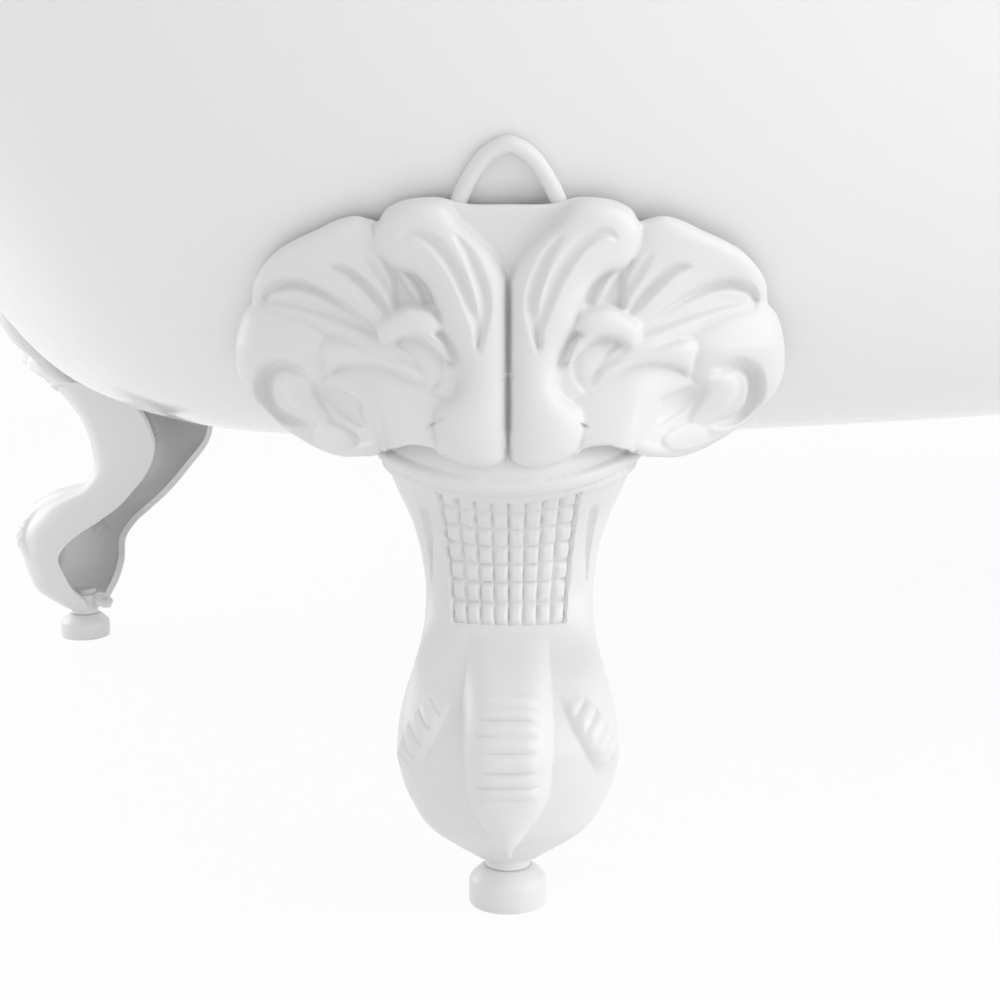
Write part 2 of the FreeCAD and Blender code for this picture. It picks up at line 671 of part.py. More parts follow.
def waste_body():
    """Cup under the floor with an outlet tail and a socket for the overflow pipe."""
    top_z = FLOOR_UNDER_Z - WASTE_SEAL_THICKNESS
    foot_z = top_z - BODY_DEPTH
    cup_radius = SPIGOT_RADIUS + THREAD_GAP + BODY_WALL
    flange = cylinder(WASTE_SEAL_RADIUS, BODY_FLANGE_THICKNESS, V(0, WASTE_Y, top_z - BODY_FLANGE_THICKNESS))
    cup = cylinder(cup_radius, BODY_DEPTH, V(0, WASTE_Y, foot_z))
    tail = cylinder(OUTLET_RADIUS, OUTLET_LENGTH, V(0, WASTE_Y, foot_z - OUTLET_LENGTH))
    thread = cylinder(SPIGOT_RADIUS + THREAD_GAP, BODY_DEPTH - BODY_WALL, V(0, WASTE_Y, foot_z + BODY_WALL))
    bore = cylinder(OUTLET_BORE, BODY_DEPTH + OUTLET_LENGTH, V(0, WASTE_Y, foot_z - OUTLET_LENGTH))
    start = V(0, WASTE_Y, pipe_level())
    out = V(0, 1, 0)
    reach = cup_radius + SOCKET_DEPTH
    socket = cylinder(PIPE_RADIUS + SOCKET_GAP + SOCKET_WALL, reach, start, out)
    socket_bore = cylinder(PIPE_RADIUS + SOCKET_GAP, reach, start + out * cup_radius, out)
    inlet = cylinder(PIPE_RADIUS - PIPE_WALL, reach, start, out)
    body = flange.multiFuse([cup, tail, socket]).cut(Part.makeCompound([thread, socket_bore]).removeSplitter())
    return body.cut(bore).cut(inlet)


def pipe_path():
    """Middle line of the overflow pipe: out under the floor, round the lower side and up between the skins."""
    inset = BASE_HEIGHT + SIDE_RADIUS - pipe_level()
    centre = V(0, SIDE_FLAT, BASE_HEIGHT + SIDE_RADIUS)
    lean = radians(SIDE_LEAN)
    turn = pi / 2 - lean
    foot = centre + V(0, 0, -inset)
    half = centre + V(0, inset * sin(turn / 2), -inset * cos(turn / 2))
    shoulder = centre + V(0, inset * sin(turn), -inset * cos(turn))
    rise = V(0, sin(lean), cos(lean))
    cup_radius = SPIGOT_RADIUS + THREAD_GAP + BODY_WALL
    start = V(0, WASTE_Y + cup_radius + SEAT_GAP, pipe_level())
    climb = (overflow_z() - shoulder.z) / cos(lean) - OVERFLOW_BODY_RADIUS - SEAT_GAP
    end = shoulder + rise * climb
    edges = [Part.makeLine(start, foot), Part.Arc(foot, half, shoulder).toShape(), Part.makeLine(shoulder, end)]
    return Part.Wire(edges), start, end, rise


def overflow_z():
    """Height of the overflow's middle, clear below the flare of the wall."""
    return ROLL_Z - FLARE_HEIGHT - BEZEL_RADIUS - OVERFLOW_MARGIN


def overflow_axis():
    """Middle of the overflow on the basin's outer face, and the direction into the basin."""
    lean = radians(SIDE_LEAN)
    inset = BASIN_INSET - BASIN_WALL
    _, width = hull_axes(overflow_z(), inset)
    return V(0, width, overflow_z()), V(0, -cos(lean), sin(lean))


def overflow_pipe():
    """Bent pipe between the skins from the overflow to the waste."""
    path, start, _, _ = pipe_path()
    skins = []
    for radius in (PIPE_RADIUS, PIPE_RADIUS - PIPE_WALL):
        circle = Part.Wire([Part.Circle(start, V(0, 1, 0), radius).toShape()])
        skins.append(path.makePipeShell([circle], True, False))
    return skins[0].cut(skins[1])


def overflow_seal():
    """Rubber ring between the basin's outer face and the overflow body."""
    centre, inward = overflow_axis()
    start = centre - inward * (SEAT_GAP + OVERFLOW_SEAL_THICKNESS)
    return tube(OVERFLOW_BODY_RADIUS, OVERFLOW_HOLE, OVERFLOW_SEAL_THICKNESS, start, inward)


def overflow_body():
    """Shallow cup behind the basin wall with a bearing for the knob and a socket for the pipe."""
    centre, inward = overflow_axis()
    mouth = centre - inward * (SEAT_GAP + OVERFLOW_SEAL_THICKNESS)
    back = mouth - inward * OVERFLOW_BODY_DEPTH
    cup = cylinder(OVERFLOW_BODY_RADIUS, OVERFLOW_BODY_DEPTH, back, inward)
    hollow = cylinder(OVERFLOW_HOLE, OVERFLOW_BODY_DEPTH, back + inward * OVERFLOW_BODY_WALL, inward)
    _, _, end, rise = pipe_path()
    socket_foot = end - rise * SOCKET_DEPTH
    socket_radius = PIPE_RADIUS + SOCKET_GAP + SOCKET_WALL
    socket = cylinder(socket_radius, SOCKET_DEPTH + OVERFLOW_BODY_RADIUS / 2, socket_foot, rise)
    socket_bore = cylinder(PIPE_RADIUS + SOCKET_GAP, SOCKET_DEPTH + SEAT_GAP, socket_foot, rise)
    inlet = cylinder(PIPE_RADIUS - PIPE_WALL, SOCKET_DEPTH + OVERFLOW_BODY_RADIUS, socket_foot, rise)
    trim = cylinder(OVERFLOW_BODY_RADIUS * 2, OVERFLOW_BODY_DEPTH, mouth, inward)
    return cup.fuse(socket.cut(trim)).cut(hollow).cut(socket_bore).cut(inlet)


def overflow_bezel():
    """Slotted plate inside the basin that covers the overflow hole and carries the knob's spindle."""
    centre, inward = overflow_axis()
    face = centre + inward * (BASIN_WALL + BEZEL_GAP)
    plate = cylinder(BEZEL_RADIUS, BEZEL_THICKNESS, face, inward)
    collar = tube(BEZEL_COLLAR, BEZEL_COLLAR - BODY_WALL, BASIN_WALL + BEZEL_GAP, centre, inward)
    slots = []
    side = V(1, 0, 0)
    for index in range(BEZEL_SLOTS):
        spoke = FreeCAD.Rotation(inward, 360 / BEZEL_SLOTS * index).multVec(side)
        start = face + spoke * BEZEL_SLOT_CIRCLE - inward * SEAT_GAP
        slots.append(cylinder(BEZEL_SLOT_RADIUS, 2 * BEZEL_THICKNESS, start, inward))
    bearing = cylinder(SPINDLE_RADIUS + SPINDLE_GAP, 2 * BEZEL_THICKNESS, face - inward * SEAT_GAP, inward)
    return plate.fuse(collar).cut(Part.makeCompound(slots)).cut(bearing)


def overflow_knob():
    """Turning knob with a fluted edge and a spindle through the bezel."""
    centre, inward = overflow_axis()
    face = centre + inward * (BASIN_WALL + BEZEL_GAP + BEZEL_THICKNESS)
    spindle = cylinder(SPINDLE_RADIUS, KNOB_STAND + SPINDLE_LENGTH, face + inward * KNOB_STAND, inward * -1)
    disc = cylinder(KNOB_RADIUS, KNOB_DEPTH, face + inward * KNOB_STAND, inward)
    return disc.fuse(spindle).removeSplitter()


def inner_bath():
    """Basin with its waste and overflow holes."""
    waste = cylinder(SPIGOT_RADIUS + HOLE_EASE, 2 * BASIN_INSET, V(0, WASTE_Y, FLOOR_Z - BASIN_INSET))
    centre, inward = overflow_axis()
    overflow = cylinder(OVERFLOW_HOLE, 4 * BASIN_WALL, centre - inward * 2 * BASIN_WALL, inward)
    return basin().cut(waste).cut(overflow)


def outer_skin(fixing_holes):
    """Outside skin, tucked up inside the rolled rim, with an access hole under the waste."""
    tuck = (ROLL_RADIUS - BASIN_WALL - BOND_GAP) * cos(radians(END_LEAN_AT_RIM))
    top = ROLL_Z + tuck
    skin = hull(0, top).cut(hull(OUTER_SKIN, top + ROLL_RADIUS))
    access = cylinder(ACCESS_RADIUS, 2 * OUTER_SKIN, V(0, WASTE_Y, BASE_HEIGHT - OUTER_SKIN / 2))
    return skin.cut(access).cut(fixing_holes)


def base_board():
    """Reinforcing board under the basin floor, slotted for the waste and the overflow pipe."""
    foot_z = FLOOR_UNDER_Z - BOARD_THICKNESS
    outline = ring(END_FLAT - BOARD_MARGIN, SIDE_FLAT - BOARD_MARGIN, foot_z)
    board = Part.Face(outline).extrude(V(0, 0, BOARD_THICKNESS))
    opening = cylinder(ACCESS_RADIUS, 2 * BOARD_THICKNESS, V(0, WASTE_Y, foot_z - BOARD_THICKNESS / 2))
    half_slot = PIPE_RADIUS + SOCKET_GAP + SOCKET_WALL + BODY_WALL
    corner = V(-half_slot, WASTE_Y, foot_z - BOARD_THICKNESS / 2)
    slot = Part.makeBox(2 * half_slot, SIDE_FLAT, 2 * BOARD_THICKNESS, corner)
    return board.cut(opening).cut(slot)


def nodes():
    """Every sub-part by name."""
    block, bore, stud, washer, nut = fixing_parts()
    seat, normal = fixing_axis()
    skin_hole = cylinder(FIXING_RADIUS + HOLE_EASE, FIXING_LENGTH, seat - normal * FIXING_LENGTH / 2, normal)
    behind_skin = hull(OUTER_SKIN + SEAT_GAP, ROLL_Z)
    outside = hull(-SEAT_GAP, ROLL_Z)
    parts = {
        "inner_bath": inner_bath(),
        "outer_skin": outer_skin(group(skin_hole)),
        "base_board": base_board(),
        "foot_blocks": group(block, lambda placed: placed.common(behind_skin)).cut(group(bore)),
        "foot_studs": group(stud),
        "foot_washers": group(washer),
        "foot_nuts": group(nut),
        "waste_flange": waste_flange(),
        "waste_seal": waste_seal(),
        "waste_body": waste_body(),
        "plug": plug(),
        "overflow_pipe": overflow_pipe(),
        "overflow_seal": overflow_seal(),
        "overflow_body": overflow_body(),
        "overflow_bezel": overflow_bezel(),
        "overflow_knob": overflow_knob(),
    }
    corner_pieces = (
        ("leveller_pad", leveller_pad(), untrimmed),
        ("leveller_screw", leveller_screw(), untrimmed),
        ("foot", foot(), lambda placed: placed.cut(outside)),
    )
    for stem, shape, trim in corner_pieces:
        for corner, copy in at_corners(shape, trim):
            parts[f"{stem}_{corner}"] = copy
    return parts


os.makedirs("parts", exist_ok=True)
for name, shape in nodes().items():
    shape.exportStep(f"parts/{name}.step")
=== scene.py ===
import logging
import math
from dataclasses import dataclass
from enum import Enum
from functools import cache

import bpy
import numpy as np
from mathutils import Matrix, Vector
from mathutils.bvhtree import BVHTree


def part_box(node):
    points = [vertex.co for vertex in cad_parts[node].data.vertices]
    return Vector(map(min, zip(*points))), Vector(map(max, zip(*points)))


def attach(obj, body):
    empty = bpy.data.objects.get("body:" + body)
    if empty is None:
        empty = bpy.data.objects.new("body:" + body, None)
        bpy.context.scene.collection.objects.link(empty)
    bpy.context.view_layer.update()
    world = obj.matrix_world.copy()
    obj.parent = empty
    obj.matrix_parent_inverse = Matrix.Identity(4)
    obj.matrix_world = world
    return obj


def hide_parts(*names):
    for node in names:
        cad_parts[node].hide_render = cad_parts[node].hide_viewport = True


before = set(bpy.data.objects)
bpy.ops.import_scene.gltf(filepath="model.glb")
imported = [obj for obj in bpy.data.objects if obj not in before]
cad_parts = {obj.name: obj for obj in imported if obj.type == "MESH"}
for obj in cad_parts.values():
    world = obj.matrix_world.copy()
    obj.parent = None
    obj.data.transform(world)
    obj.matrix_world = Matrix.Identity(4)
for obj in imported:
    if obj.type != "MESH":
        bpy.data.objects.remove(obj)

LOG = logging.getLogger("roll_top_bath")
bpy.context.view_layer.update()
# Lengths are millimetres in a foot's own frame and metres in the bath's, and angles are degrees.
MM = 0.001
MERGE = 1e-6
TURNED_CREASE = 40.0
CAST_CREASE = 50.0
SHORT_OF_END = 1.001
QUARTER_TURN = 90.0
Point = tuple[float, float]
Line = tuple[Point, ...]
Place = tuple[float, float, float]
Inputs = dict[str | int, "Wire | float | tuple[float, ...]"]


class Corner(Enum):
    """The four corners that the feet stand at, as signs along and across the bath."""

    BACK_RIGHT = (1, 1)
    BACK_LEFT = (-1, 1)
    FRONT_RIGHT = (1, -1)
    FRONT_LEFT = (-1, -1)

    @property
    def label(self) -> str:
        """The corner's name as the CAD nodes spell it."""
        return self.name.lower()


class Lay(Enum):
    """How a leaf is laid on what is already carved."""

    OVER = "over"
    ADD = "add"
    DISH = "dish"


class Wire:
    """A shader socket that is added, taken away and multiplied as a number is."""

    def __init__(self, board: "Board", socket: bpy.types.NodeSocket) -> None:
        """Holds an output of one of a board's nodes."""
        self.board = board
        self.socket = socket

    def _sum(self, operation: str, first: "Wire | float", second: "Wire | float") -> "Wire":
        """Joins two values by one kind of sum.

        Args:
            operation: The kind of sum.
            first: A wire or a plain number.
            second: Another wire or plain number.

        Returns:
            The sum's own wire.
        """
        node = self.board.node("ShaderNodeMath", {"operation": operation}, {0: first, 1: second})
        return self.board.wire(node)

    def __add__(self, other: "Wire | float") -> "Wire":
        """This and the other together."""
        return self._sum("ADD", self, other)

    def __radd__(self, other: float) -> "Wire":
        """A number and this together."""
        return self._sum("ADD", other, self)

    def __sub__(self, other: "Wire | float") -> "Wire":
        """This less the other."""
        return self._sum("SUBTRACT", self, other)

    def __rsub__(self, other: float) -> "Wire":
        """A number less this."""
        return self._sum("SUBTRACT", other, self)

    def __mul__(self, other: "Wire | float") -> "Wire":
        """This times the other."""
        return self._sum("MULTIPLY", self, other)

    def __rmul__(self, other: float) -> "Wire":
        """A number times this."""
        return self._sum("MULTIPLY", other, self)

    def least(self, other: "Wire | float") -> "Wire":
        """The smaller of the two."""
        return self._sum("MINIMUM", self, other)


@dataclass(frozen=True)
class Board:
    """Node tree of a finish, of the floor or of the surroundings."""

    tree: bpy.types.NodeTree

    def fill(self, node: bpy.types.Node, inputs: Inputs) -> None:
        """Gives a node's inputs their values or wires.

        Args:
            node: A node of the tree.
            inputs: The value or wire of each input, by the input's name or place.
        """
        for key, value in inputs.items():
            if isinstance(value, Wire):
                self.tree.links.new(value.socket, node.inputs[key])
            else:
                node.inputs[key].default_value = value

    def node(self, kind: str, settings: dict[str, str], inputs: Inputs) -> bpy.types.Node:
        """Adds one node.

        Args:
            kind: The node's type.
            settings: The node's own settings, which are set first.
            inputs: The value or wire of each input, by the input's name or place.

        Returns:
            The node.
        """
        made = self.tree.nodes.new(kind)
        for name, value in settings.items():
            setattr(made, name, value)
        self.fill(made, inputs)
        return made

    def wire(self, node: bpy.types.Node, output: str | int = 0) -> Wire:
        """One output of a node as a wire."""
        return Wire(self, node.outputs[output])


@dataclass(frozen=True)
class Finish:
    """One surface finish of the bath."""

    slot: str
    colour: tuple[float, float, float]
    roughness: float
    metallic: float = 0.0
    coat: float = 0.0

    @cache
    def material(self) -> bpy.types.Material:
        """Makes the finish's material, once.

        Returns:
            The material that every piece of this finish shares.
        """
        made = bpy.data.materials.new(self.slot)
        made.use_nodes = True
        Board(made.node_tree).fill(made.node_tree.nodes["Principled BSDF"], {
            "Base Color": (*self.colour, 1.0),
            "Roughness": self.roughness,
            "Metallic": self.metallic,
            "Coat Weight": self.coat,
        })
        return made


GLOSS = Finish("white_acrylic", (0.93, 0.93, 0.93), 0.12, coat=0.3)
CASTING = Finish("white_casting", (0.85, 0.85, 0.85), 0.42)
PAD = Finish("white_pad", (0.84, 0.84, 0.84), 0.35)
SCREW = Finish("white_screw", (0.8, 0.8, 0.8), 0.4)
ZINC = Finish("zinc_steel", (0.6, 0.61, 0.62), 0.35, metallic=1.0)
CHROME = Finish("chrome", (0.85, 0.86, 0.87), 0.06, metallic=1.0)
RUBBER = Finish("black_rubber", (0.02, 0.02, 0.02), 0.6)
PLASTIC = Finish("grey_plastic", (0.45, 0.46, 0.47), 0.4)
TIMBER = Finish("timber", (0.62, 0.47, 0.3), 0.6)


def deselect() -> None:
    """Leaves nothing selected before a new piece is started."""
    bpy.ops.object.select_all(action="DESELECT")


def sheet(name: str, columns: int, rows: int) -> tuple[bpy.types.Object, np.ndarray, np.ndarray]:
    """Starts a piece as a flat sheet.

    Args:
        name: The piece's name.
        columns: Faces across the sheet.
        rows: Faces up the sheet.

    Returns:
        The object and each vertex's place across and up the sheet, from 0 to 1.
    """
    deselect()
    bpy.ops.mesh.primitive_grid_add(x_subdivisions=columns, y_subdivisions=rows, size=2.0)
    piece = bpy.context.active_object
    piece.name = name
    flat = np.empty(len(piece.data.vertices) * 3)
    piece.data.vertices.foreach_get("co", flat)
    flat = flat.reshape(-1, 3)
    return piece, (flat[:, 0] + 1) / 2, (flat[:, 1] + 1) / 2


def settle(piece: bpy.types.Object, places: np.ndarray, flip: bool = False) -> None:
    """Moves a sheet's vertices to their places, closes its seams and smooths it.

    Args:
        piece: The sheet.
        places: Vertex places in millimetres.
        flip: Turns the faces to look the other way.
    """
    piece.data.vertices.foreach_set("co", (places * MM).ravel())
    piece.data.update()
    bpy.ops.object.mode_set(mode="EDIT")
    bpy.ops.mesh.select_all(action="SELECT")
    bpy.ops.mesh.remove_doubles(threshold=MERGE)
    if flip:
        bpy.ops.mesh.flip_normals()
    bpy.ops.object.mode_set(mode="OBJECT")
    bpy.ops.object.shade_smooth()


def turned(name: str, profile: Line, segments: int = 48) -> bpy.types.Object:
    """Turns a closed profile round the upright axis, ring by ring.

    Args:
        name: The piece's name.
        profile: Radius and height of each ring in millimetres, from the first round to the last.
        segments: Sides of each ring.

    Returns:
        The ring-shaped piece.
    """
    deselect()
    radius, height = profile[0]
    bpy.ops.mesh.primitive_circle_add(vertices=segments, radius=radius * MM)
    piece = bpy.context.active_object
    piece.name = name
    bpy.ops.object.mode_set(mode="EDIT")
    bpy.ops.mesh.select_all(action="SELECT")
    bpy.ops.transform.translate(value=(0.0, 0.0, height * MM))
    for next_radius, next_height in (*profile[1:], profile[0]):
        lift = (0.0, 0.0, (next_height - height) * MM)
        bpy.ops.mesh.extrude_region_move(TRANSFORM_OT_translate={"value": lift})
        growth = next_radius / radius
        bpy.ops.transform.resize(value=(growth, growth, 1.0))
        radius, height = next_radius, next_height
    bpy.ops.mesh.select_all(action="SELECT")
    bpy.ops.mesh.remove_doubles(threshold=MERGE)
    bpy.ops.mesh.normals_make_consistent(inside=False)
    bpy.ops.object.mode_set(mode="OBJECT")
    bpy.ops.object.shade_smooth_by_angle(angle=math.radians(TURNED_CREASE))
    return piece


def smoothstep(low: float, high: float, value: np.ndarray) -> np.ndarray:
    """0 below low, 1 above high and a smooth rise between."""
    share = np.clip((value - low) / (high - low), 0.0, 1.0)
    return share * share * (3 - 2 * share)


def larger(first: np.ndarray, second: np.ndarray, blend: float) -> np.ndarray:
    """The larger of two surfaces, run smoothly into each other over a blend."""
    return (first + second + np.sqrt((first - second) ** 2 + blend**2)) / 2


def rounded(points: Line, closed: bool, steps: int = 6) -> np.ndarray:
    """Smooth line through points.

    Args:
        points: Points of the line.
        closed: True where the line returns to its start.
        steps: Places between two points.

    Returns:
        The places along the line as an array of two columns.
    """
    marks = np.array(points, dtype=float)
    count = len(marks)
    spans = count if closed else count - 1
    places = []
    for span in range(spans):
        if closed:
            before, start, end, after = (marks[(span + k) % count] for k in (-1, 0, 1, 2))
        else:
            before, start, end, after = (marks[min(max(span + k, 0), count - 1)] for k in (-1, 0, 1, 2))
        for step in range(steps):
            t = step / steps
            pull = 2 * start + (end - before) * t
            bend = (2 * before - 5 * start + 4 * end - after) * t**2
            swing = (3 * start - before - 3 * end + after) * t**3
            places.append((pull + bend + swing) / 2)
    if not closed:
        places.append(marks[-1])
    return np.array(places)


def through(levels: np.ndarray, values: np.ndarray, at: np.ndarray) -> np.ndarray:
    """Smooth curve through values given at rising levels.

    Args:
        levels: Rising levels.
        values: The value at each level.
        at: Levels to read.

    Returns:
        The value at each level read.
    """
    slopes = np.gradient(values, levels)
    place = np.clip(np.searchsorted(levels, at) - 1, 0, len(levels) - 2)
    step = levels[place + 1] - levels[place]
    t = np.clip((at - levels[place]) / step, 0.0, 1.0)
    rise = values[place] * (1 + 2 * t) * (1 - t) ** 2 + values[place + 1] * t**2 * (3 - 2 * t)
    lean = slopes[place] * t * (1 - t) ** 2 + slopes[place + 1] * t**2 * (t - 1)
    return rise + lean * step


def between(table: np.ndarray, column: np.ndarray, row: np.ndarray) -> np.ndarray:
    """Reads a table of values between its columns and rows.

    Args:
        table: The values, row after row.
        column: Where each reading lies across the table, counted in columns.
        row: Where each reading lies up the table, counted in rows.

    Returns:
        The value at each reading, held at the table's edges.
    """
    rows, columns = table.shape
    column = np.clip(column, 0, columns - SHORT_OF_END)
    row = np.clip(row, 0, rows - SHORT_OF_END)
    left = column.astype(int)
    below = row.astype(int)
    right = column - left
    above = row - below
    lower = table[below, left] * (1 - right) + table[below, left + 1] * right
    upper = table[below + 1, left] * (1 - right) + table[below + 1, left + 1] * right
    return lower * (1 - above) + upper * above


def outward_normals(places: np.ndarray, columns: int) -> np.ndarray:
    """Directions square to a sheet, looking away from the leg's axis.

    Args:
        places: Vertex places of a sheet, row after row.
        columns: Faces across the sheet.

    Returns:
        A unit direction for each place.
    """
    grid = places.reshape(-1, columns + 1, 3)
    square = np.cross(np.gradient(grid, axis=0), np.gradient(grid, axis=1)).reshape(-1, 3)
    return square / np.linalg.norm(square, axis=1)[:, None]


@dataclass(frozen=True)
class Leaf:
    """One leaf of half the crown: outline, sideways and above the floor, and how it swells."""

    name: str
    outline: Line
    lift: float = 0.0
    roundness: float = 0.5
    cap: float = 8.0
    lay: Lay = Lay.OVER
    slope: Point = (0.0, 0.0)


@dataclass(frozen=True)
class Groove:
    """One groove of half the crown, drawn as a line that fades at its ends."""

    name: str
    line: Line
    half_width: float
    depth: float
    blunt_end: float = 0.02
    taper: float = 0.5
    fullness: float = 1.2


class Relief:
    """Carving of half the crown, as heights over a fine even grid."""

    def __init__(self, width: float, low: float, high: float, pitch: float) -> None:
        """Lays out the grid.

        Args:
            width: How far it runs sideways from the middle.
            low: Lowest height above the floor.
            high: Highest height above the floor.
            pitch: Spacing of the grid.
        """
        self.pitch = pitch
        self.low = low
        self.left = -2 * pitch
        across = np.arange(self.left, width + pitch, pitch)
        up = np.arange(low, high + pitch, pitch)
        self.side, self.rise = np.meshgrid(across, up)
        self.height = np.zeros_like(self.side)

    def inside(self, outline: np.ndarray) -> np.ndarray:
        """Marks the grid places inside a closed outline.

        Args:
            outline: Places along the outline.

        Returns:
            True at each grid place inside.
        """
        found = np.zeros(self.side.shape, dtype=bool)
        for start, end in zip(outline, np.roll(outline, -1, axis=0)):
            if start[1] == end[1]:
                continue
            crosses = (start[1] > self.rise) != (end[1] > self.rise)
            reach = start[0] + (end[0] - start[0]) * (self.rise - start[1]) / (end[1] - start[1])
            found ^= crosses & (self.side < reach)
        return found

    def swelling(self, marked: np.ndarray, sweeps: int = 160, push: float = 1.88) -> np.ndarray:
        """Height of a film blown up over the marked places: half round over a strip.

        Args:
            marked: Places that swell.
            sweeps: Times the film is evened out.
            push: How far each evening overshoots.

        Returns:
            The height over the whole grid, zero outside.
        """
        rows, columns = np.nonzero(marked)
        box = np.s_[rows.min() - 1 : rows.max() + 2, columns.min() - 1 : columns.max() + 2]
        part = np.zeros_like(marked[box], dtype=float)
        inner = marked[box]
        even = (np.indices(inner.shape).sum(axis=0) % 2).astype(bool)
        for _ in range(sweeps):
            for turn in (inner & even, inner & ~even):
                near = np.zeros_like(part)
                near[1:-1, 1:-1] = part[2:, 1:-1] + part[:-2, 1:-1] + part[1:-1, 2:] + part[1:-1, :-2]
                part[turn] += push * ((near[turn] + self.pitch**2) / 4 - part[turn])
        whole = np.zeros_like(self.height)
        whole[box] = np.sqrt(2 * np.clip(part, 0.0, None))
        return whole

    def lay(self, leaf: Leaf) -> None:
        """Carves one leaf.

        Args:
            leaf: The leaf, laid on what is already carved.
        """
        outline = rounded(leaf.outline, closed=True)
        marked = self.inside(outline)
        swell = leaf.roundness * self.swelling(marked)
        swell = leaf.cap * np.tanh(swell / leaf.cap)
        if leaf.lay is Lay.ADD:
            self.height = self.height + swell
        elif leaf.lay is Lay.DISH:
            self.height = np.where(marked, np.maximum(self.height - swell, leaf.lift), self.height)
        else:
            middle = outline.mean(axis=0)
            tilt = leaf.slope[0] * (self.side - middle[0]) + leaf.slope[1] * (self.rise - middle[1])
            self.height = np.where(marked, leaf.lift + tilt + swell, self.height)
        LOG.debug("laid the %s", leaf.name)

    def cut(self, groove: Groove) -> None:
        """Carves one groove.

        Args:
            groove: The groove, cut into what is already carved.
        """
        line = rounded(groove.line, closed=False)
        nearest = np.full(self.side.shape, np.inf)
        share = np.zeros_like(nearest)
        count = len(line) - 1
        for index, (start, end) in enumerate(zip(line, line[1:])):
            run = end - start
            along = ((self.side - start[0]) * run[0] + (self.rise - start[1]) * run[1]) / (run @ run)
            along = np.clip(along, 0.0, 1.0)
            gap = np.hypot(self.side - start[0] - along * run[0], self.rise - start[1] - along * run[1])
            closer = gap < nearest
            nearest = np.where(closer, gap, nearest)
            share = np.where(closer, (index + along) / count, share)
        fade = np.sin(np.pi * np.clip(share, groove.blunt_end, 1 - groove.blunt_end)) ** groove.taper
        depth = np.clip(1 - (nearest / (groove.half_width * fade)) ** 2, 0.0, None) ** groove.fullness
        self.height = self.height - groove.depth * fade * depth
        LOG.debug("cut the %s", groove.name)

    def soften(self, radius: float) -> None:
        """Rounds the carving off as paint does.

        Args:
            radius: How far the rounding reaches.
        """
        reach = int(3 * radius / self.pitch) + 1
        steps = np.arange(-reach, reach + 1) * self.pitch
        weights = np.exp(-0.5 * (steps / radius) ** 2)
        weights /= weights.sum()
        for axis in (0, 1):
            margins = [(0, 0), (0, 0)]
            margins[axis] = (reach, reach)
            padded = np.pad(self.height, margins, mode="edge")
            size = self.height.shape[axis]
            shifted = (np.take(padded, range(k, k + size), axis=axis) for k in range(len(weights)))
            self.height = sum(weight * layer for weight, layer in zip(weights, shifted))

    def read(self, side: np.ndarray, rise: np.ndarray) -> np.ndarray:
        """Height of the carving at places of either half."""
        return between(self.height, (np.abs(side) - self.left) / self.pitch, (rise - self.low) / self.pitch)


@dataclass(frozen=True)
class FootPlace:
    """Where a foot stands: its frame is sideways, outward and up from the middle of its pad."""

    corner: Corner
    facing: float = 57.0

    def matrix(self) -> Matrix:
        """Works out the foot's place from its pad.

        Returns:
            The way from the foot's own frame to the bath's, in metres.
        """
        low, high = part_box(f"leveller_pad_{self.corner.label}")
        along, across = self.corner.value
        facing = math.radians(self.facing)
        turn = math.atan2(across * math.sin(facing), along * math.cos(facing)) - math.pi / 2
        middle = Vector(((low[0] + high[0]) / 2, (low[1] + high[1]) / 2, 0.0))
        return Matrix.Translation(middle) @ Matrix.Rotation(turn, 4, "Z")


class HullGauge:
    """Measures the bath's outside in a foot's own frame, in millimetres."""

    FAR_OUT = 150.0
    NEAR_FLOOR = 20.0

    def __init__(self) -> None:
        """Reads the outer skin of the frame."""
        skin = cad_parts["outer_skin"]
        graph = bpy.context.evaluated_depsgraph_get()
        self.tree = BVHTree.FromObject(skin, graph)
        self.into = skin.matrix_world.inverted() @ FootPlace(Corner.BACK_RIGHT).matrix()

    def _hit(self, start: Vector, way: Vector) -> Vector | None:
        """Looks for the skin in the foot's frame.

        Args:
            start: Where the look starts.
            way: The direction of the look.

        Returns:
            The first point met, or None where there is none.
        """
        spin = self.into.to_3x3()
        found, _, _, _ = self.tree.ray_cast(self.into @ (start * MM), spin @ way)
        if found is None:
            return None
        return (self.into.inverted() @ found) / MM

    def reach(self, side: float, rise: float) -> float:
        """Measures how far out the skin reaches.

        Args:
            side: Sideways place.
            rise: Height above the floor.

        Returns:
            The outward reach, the larger of the two sides.
        """
        reaches = []
        for way in (side, -side):
            hit = self._hit(Vector((way, self.FAR_OUT, rise)), Vector((0.0, -1.0, 0.0)))
            reaches.append(hit.y if hit is not None else -self.FAR_OUT)
        return max(reaches)

    def underside(self, side: float, out: float, limit: float) -> float:
        """Measures how high the skin lies above a place in plan.

        Args:
            side: Sideways place.
            out: Outward place.
            limit: The greatest height to return.

        Returns:
            The height above the floor, the lower of the two sides.
        """
        heights = [limit]
        for way in (side, -side):
            hit = self._hit(Vector((way, out, self.NEAR_FLOOR)), Vector((0.0, 0.0, 1.0)))
            if hit is not None:
                heights.append(hit.z)
        return min(heights)


FAN_EDGE: Line = (
    (42.0, 217.0), (47.0, 218.0), (53.0, 216.5), (58.5, 214.0), (65.5, 211.0), (72.0, 207.5), (77.5, 202.5),
    (81.0, 197.5),
)
VOLUTE_EDGE: Line = (
    (82.5, 190.5), (85.5, 187.0), (88.0, 181.0), (89.0, 174.0), (88.5, 167.0), (85.0, 161.0), (79.0, 156.0),
    (73.5, 151.5), (66.5, 147.5), (59.5, 144.5), (53.0, 143.0),
)


